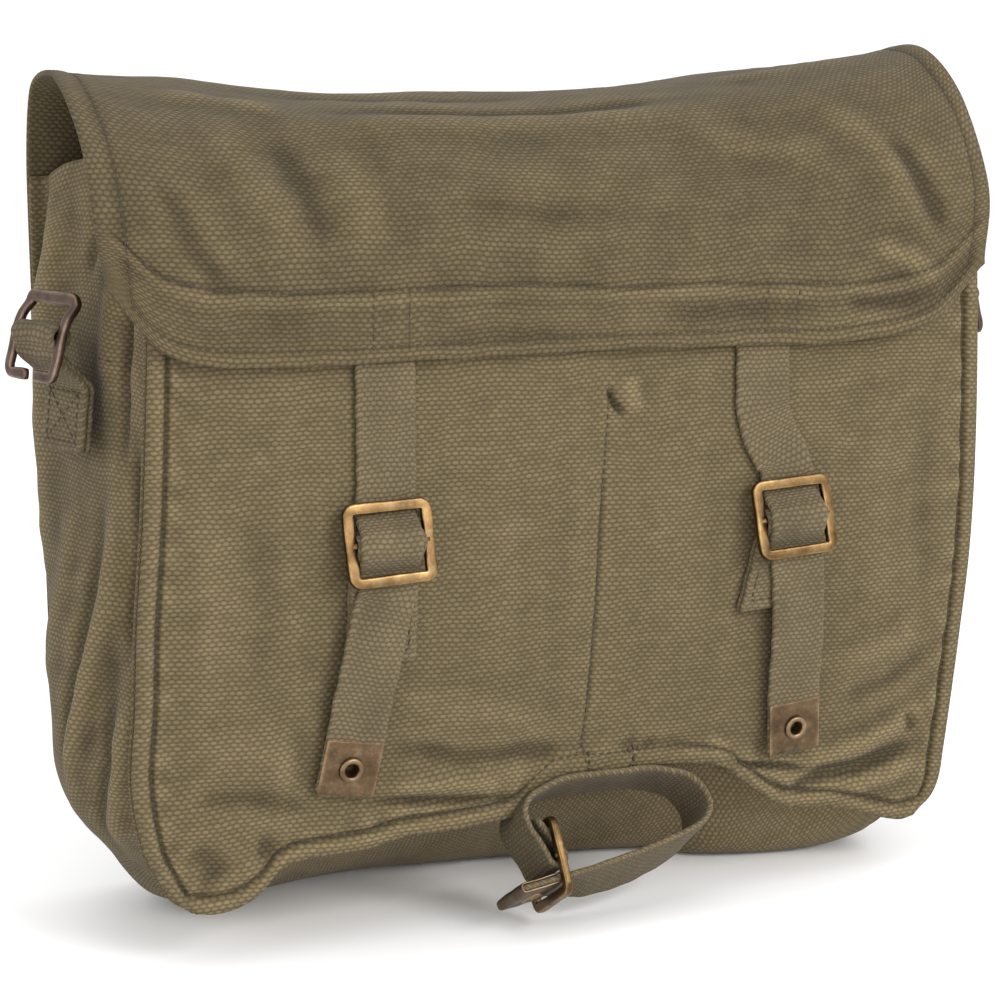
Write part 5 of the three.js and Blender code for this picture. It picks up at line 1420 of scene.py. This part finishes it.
def on_flap(across, hem_distance):
    """The flap's surface at shares of its half width and distances up from its hem."""
    across, hem_distance = np.broadcast_arrays(np.asarray(across, float), np.asarray(hem_distance, float))
    column = np.interp(across, sheet_across[0], np.arange(sheet_columns))
    rows = np.arange(sheet_rows)[::-1]
    row = [np.interp(d, from_hem[::-1, int(round(c))], rows) for c, d in zip(column, hem_distance)]
    return on_grid(sheet_points, np.asarray(row), column)


def gusset_column(back):
    return np.interp(back, gusset_backs[::-1], np.arange(len(gusset_backs))[::-1])


def strip_run(grid):
    """The length along a webbing's middle at each of its rows."""
    steps = np.linalg.norm(np.diff(grid[grid.shape[0] // 2], axis=0), axis=1)
    return np.concatenate([[0], np.cumsum(steps)])


def on_strip(grid, corners):
    """A path over a webbing, through places given in millimetres across it and along its length."""
    run = strip_run(grid)
    places = []
    for (x0, y0), (x1, y1) in zip(corners[:-1], corners[1:]):
        t = np.linspace(0, 1, 12)
        places.append(np.stack([mix(x0, x1, t), mix(y0, y1, t)], -1))
    places = np.concatenate(places)
    column = (places[:, 0] / (webbing_width / 2) + 1) / 2 * (grid.shape[0] - 1)
    return on_grid(grid, column, np.interp(places[:, 1], run, np.arange(len(run))))


box_sides = (-77.0, -64.5, 70.0, 82.5)
flap_over_front = 1.03
loop_knots = [
    ((0.1, 58), (0.6, 51)), ((16, 57), (19.5, 51)), ((19.5, 57.5), (16.5, 51.5)), ((17.8, 58), (17.8, 51)),
]
tack_height = 201.0
stitch_paths = []
edge_share = 1 - hem_side / half_width
for way in (-1, 1):
    stitch_paths.append(on_flap(np.full(60, way * edge_share), np.linspace(hem_side, 150, 60)))
stitch_paths.append(on_flap(np.linspace(-edge_share, edge_share, 140), np.full(140, hem_low)))
band_across = np.linspace(-edge_share, edge_share, 160)
stitch_paths.append(on_flap(band_across, band_above_hem(band_across * half_width)))
for x in box_sides:
    stitch_paths.append(on_flap(np.full(16, x / half_width / flap_over_front), np.linspace(hem_low, 21, 16)))

welt_share = 1 - seam_in / half_width
for way in (-1, 1):
    column = front_column(np.full(90, way * welt_share))
    stitch_paths.append(on_grid(front_points, column, front_row(np.linspace(0.035, 0.97, 90))))
across = np.linspace(-1, 1, 150) * welt_share
share_up = seam_in / ((front_top - bottom_seam(across)) * body_height)
stitch_paths.append(on_grid(front_points, front_column(across), front_row(share_up)))
seam_z = np.linspace(52, 186, 64)
seam_upwards = np.array([slit_top, *centre_seam])[::-1]
stitch_paths.append(on_front(np.interp(seam_z, seam_upwards[:, 1], seam_upwards[:, 0]), seam_z))
for (x0, z0), (x1, z1) in loop_knots:
    t = np.linspace(0, 1, 8)
    stitch_paths.append(on_front(mix(x0, x1, t), mix(z0, z1, t)) - np.array([0, 0.4, 0]))

tack_way = np.interp(tack_height, gusset_points[:side_rows, 30, 2][::-1], np.arange(side_rows)[::-1])
tack_across = gusset_column(np.array([0.30, 0.32, 0.345]))
stitch_paths.append(on_grid(gusset_points, np.full(3, tack_way), tack_across))
for first, last in ((0.06, 0.97), (2.03, 2.94)):
    ways = np.interp(np.linspace(first, last, 90), gusset_ways, np.arange(len(gusset_ways)))
    seam_column = np.full(90, gusset_column(gusset_seam_in / bag_depth))
    stitch_paths.append(on_grid(gusset_points, ways, seam_column))

for place in side_tabs.values():
    total = strip_run(place["grid"])[-1]
    near, far = total - tab_sewn_length + 1, total - 2.5
    box = [(-8.5, near), (8.5, near), (8.5, far), (-8.5, far), (-8.5, near), (8.5, far)]
    stitch_paths.append(on_strip(place["grid"], box))
    stitch_paths.append(on_strip(place["grid"], [(8.5, near), (-8.5, far)]))
for strap in flap_straps.values():
    total = strip_run(strap["chape_grid"])[-1]
    sewn_end = [(-9, total - 12), (-9, total - 3), (9, total - 3), (9, total - 12)]
    stitch_paths.append(on_strip(strap["chape_grid"], sewn_end))

vertices, edges = [], []
for path in stitch_paths:
    start = len(vertices)
    vertices += [tuple(point * metre) for point in path]
    edges += [(start + k, start + k + 1) for k in range(len(path) - 1)]
path_mesh = bpy.data.meshes.new("seam_lines")
path_mesh.from_pydata(vertices, edges, [])
seam_lines = bpy.data.objects.new("seam_lines", path_mesh)
bpy.context.collection.objects.link(seam_lines)
sewing = seam_lines.modifiers.new("stitching", "NODES")
sewing.node_group = stitching_tree()
sewing_inputs = {"Thread": thread, "Pitch": 0.0031}
for item in sewing.node_group.interface.items_tree:
    if item.in_out == "INPUT" and item.name in sewing_inputs:
        sewing[item.identifier] = sewing_inputs[item.name]
bpy.context.view_layer.update()
sewn = bpy.data.meshes.new_from_object(seam_lines.evaluated_get(bpy.context.evaluated_depsgraph_get()))
bpy.data.objects.remove(seam_lines)
stitches = bpy.data.objects.new("seam_stitches", sewn)
bpy.context.collection.objects.link(stitches)
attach(stitches, "bag")
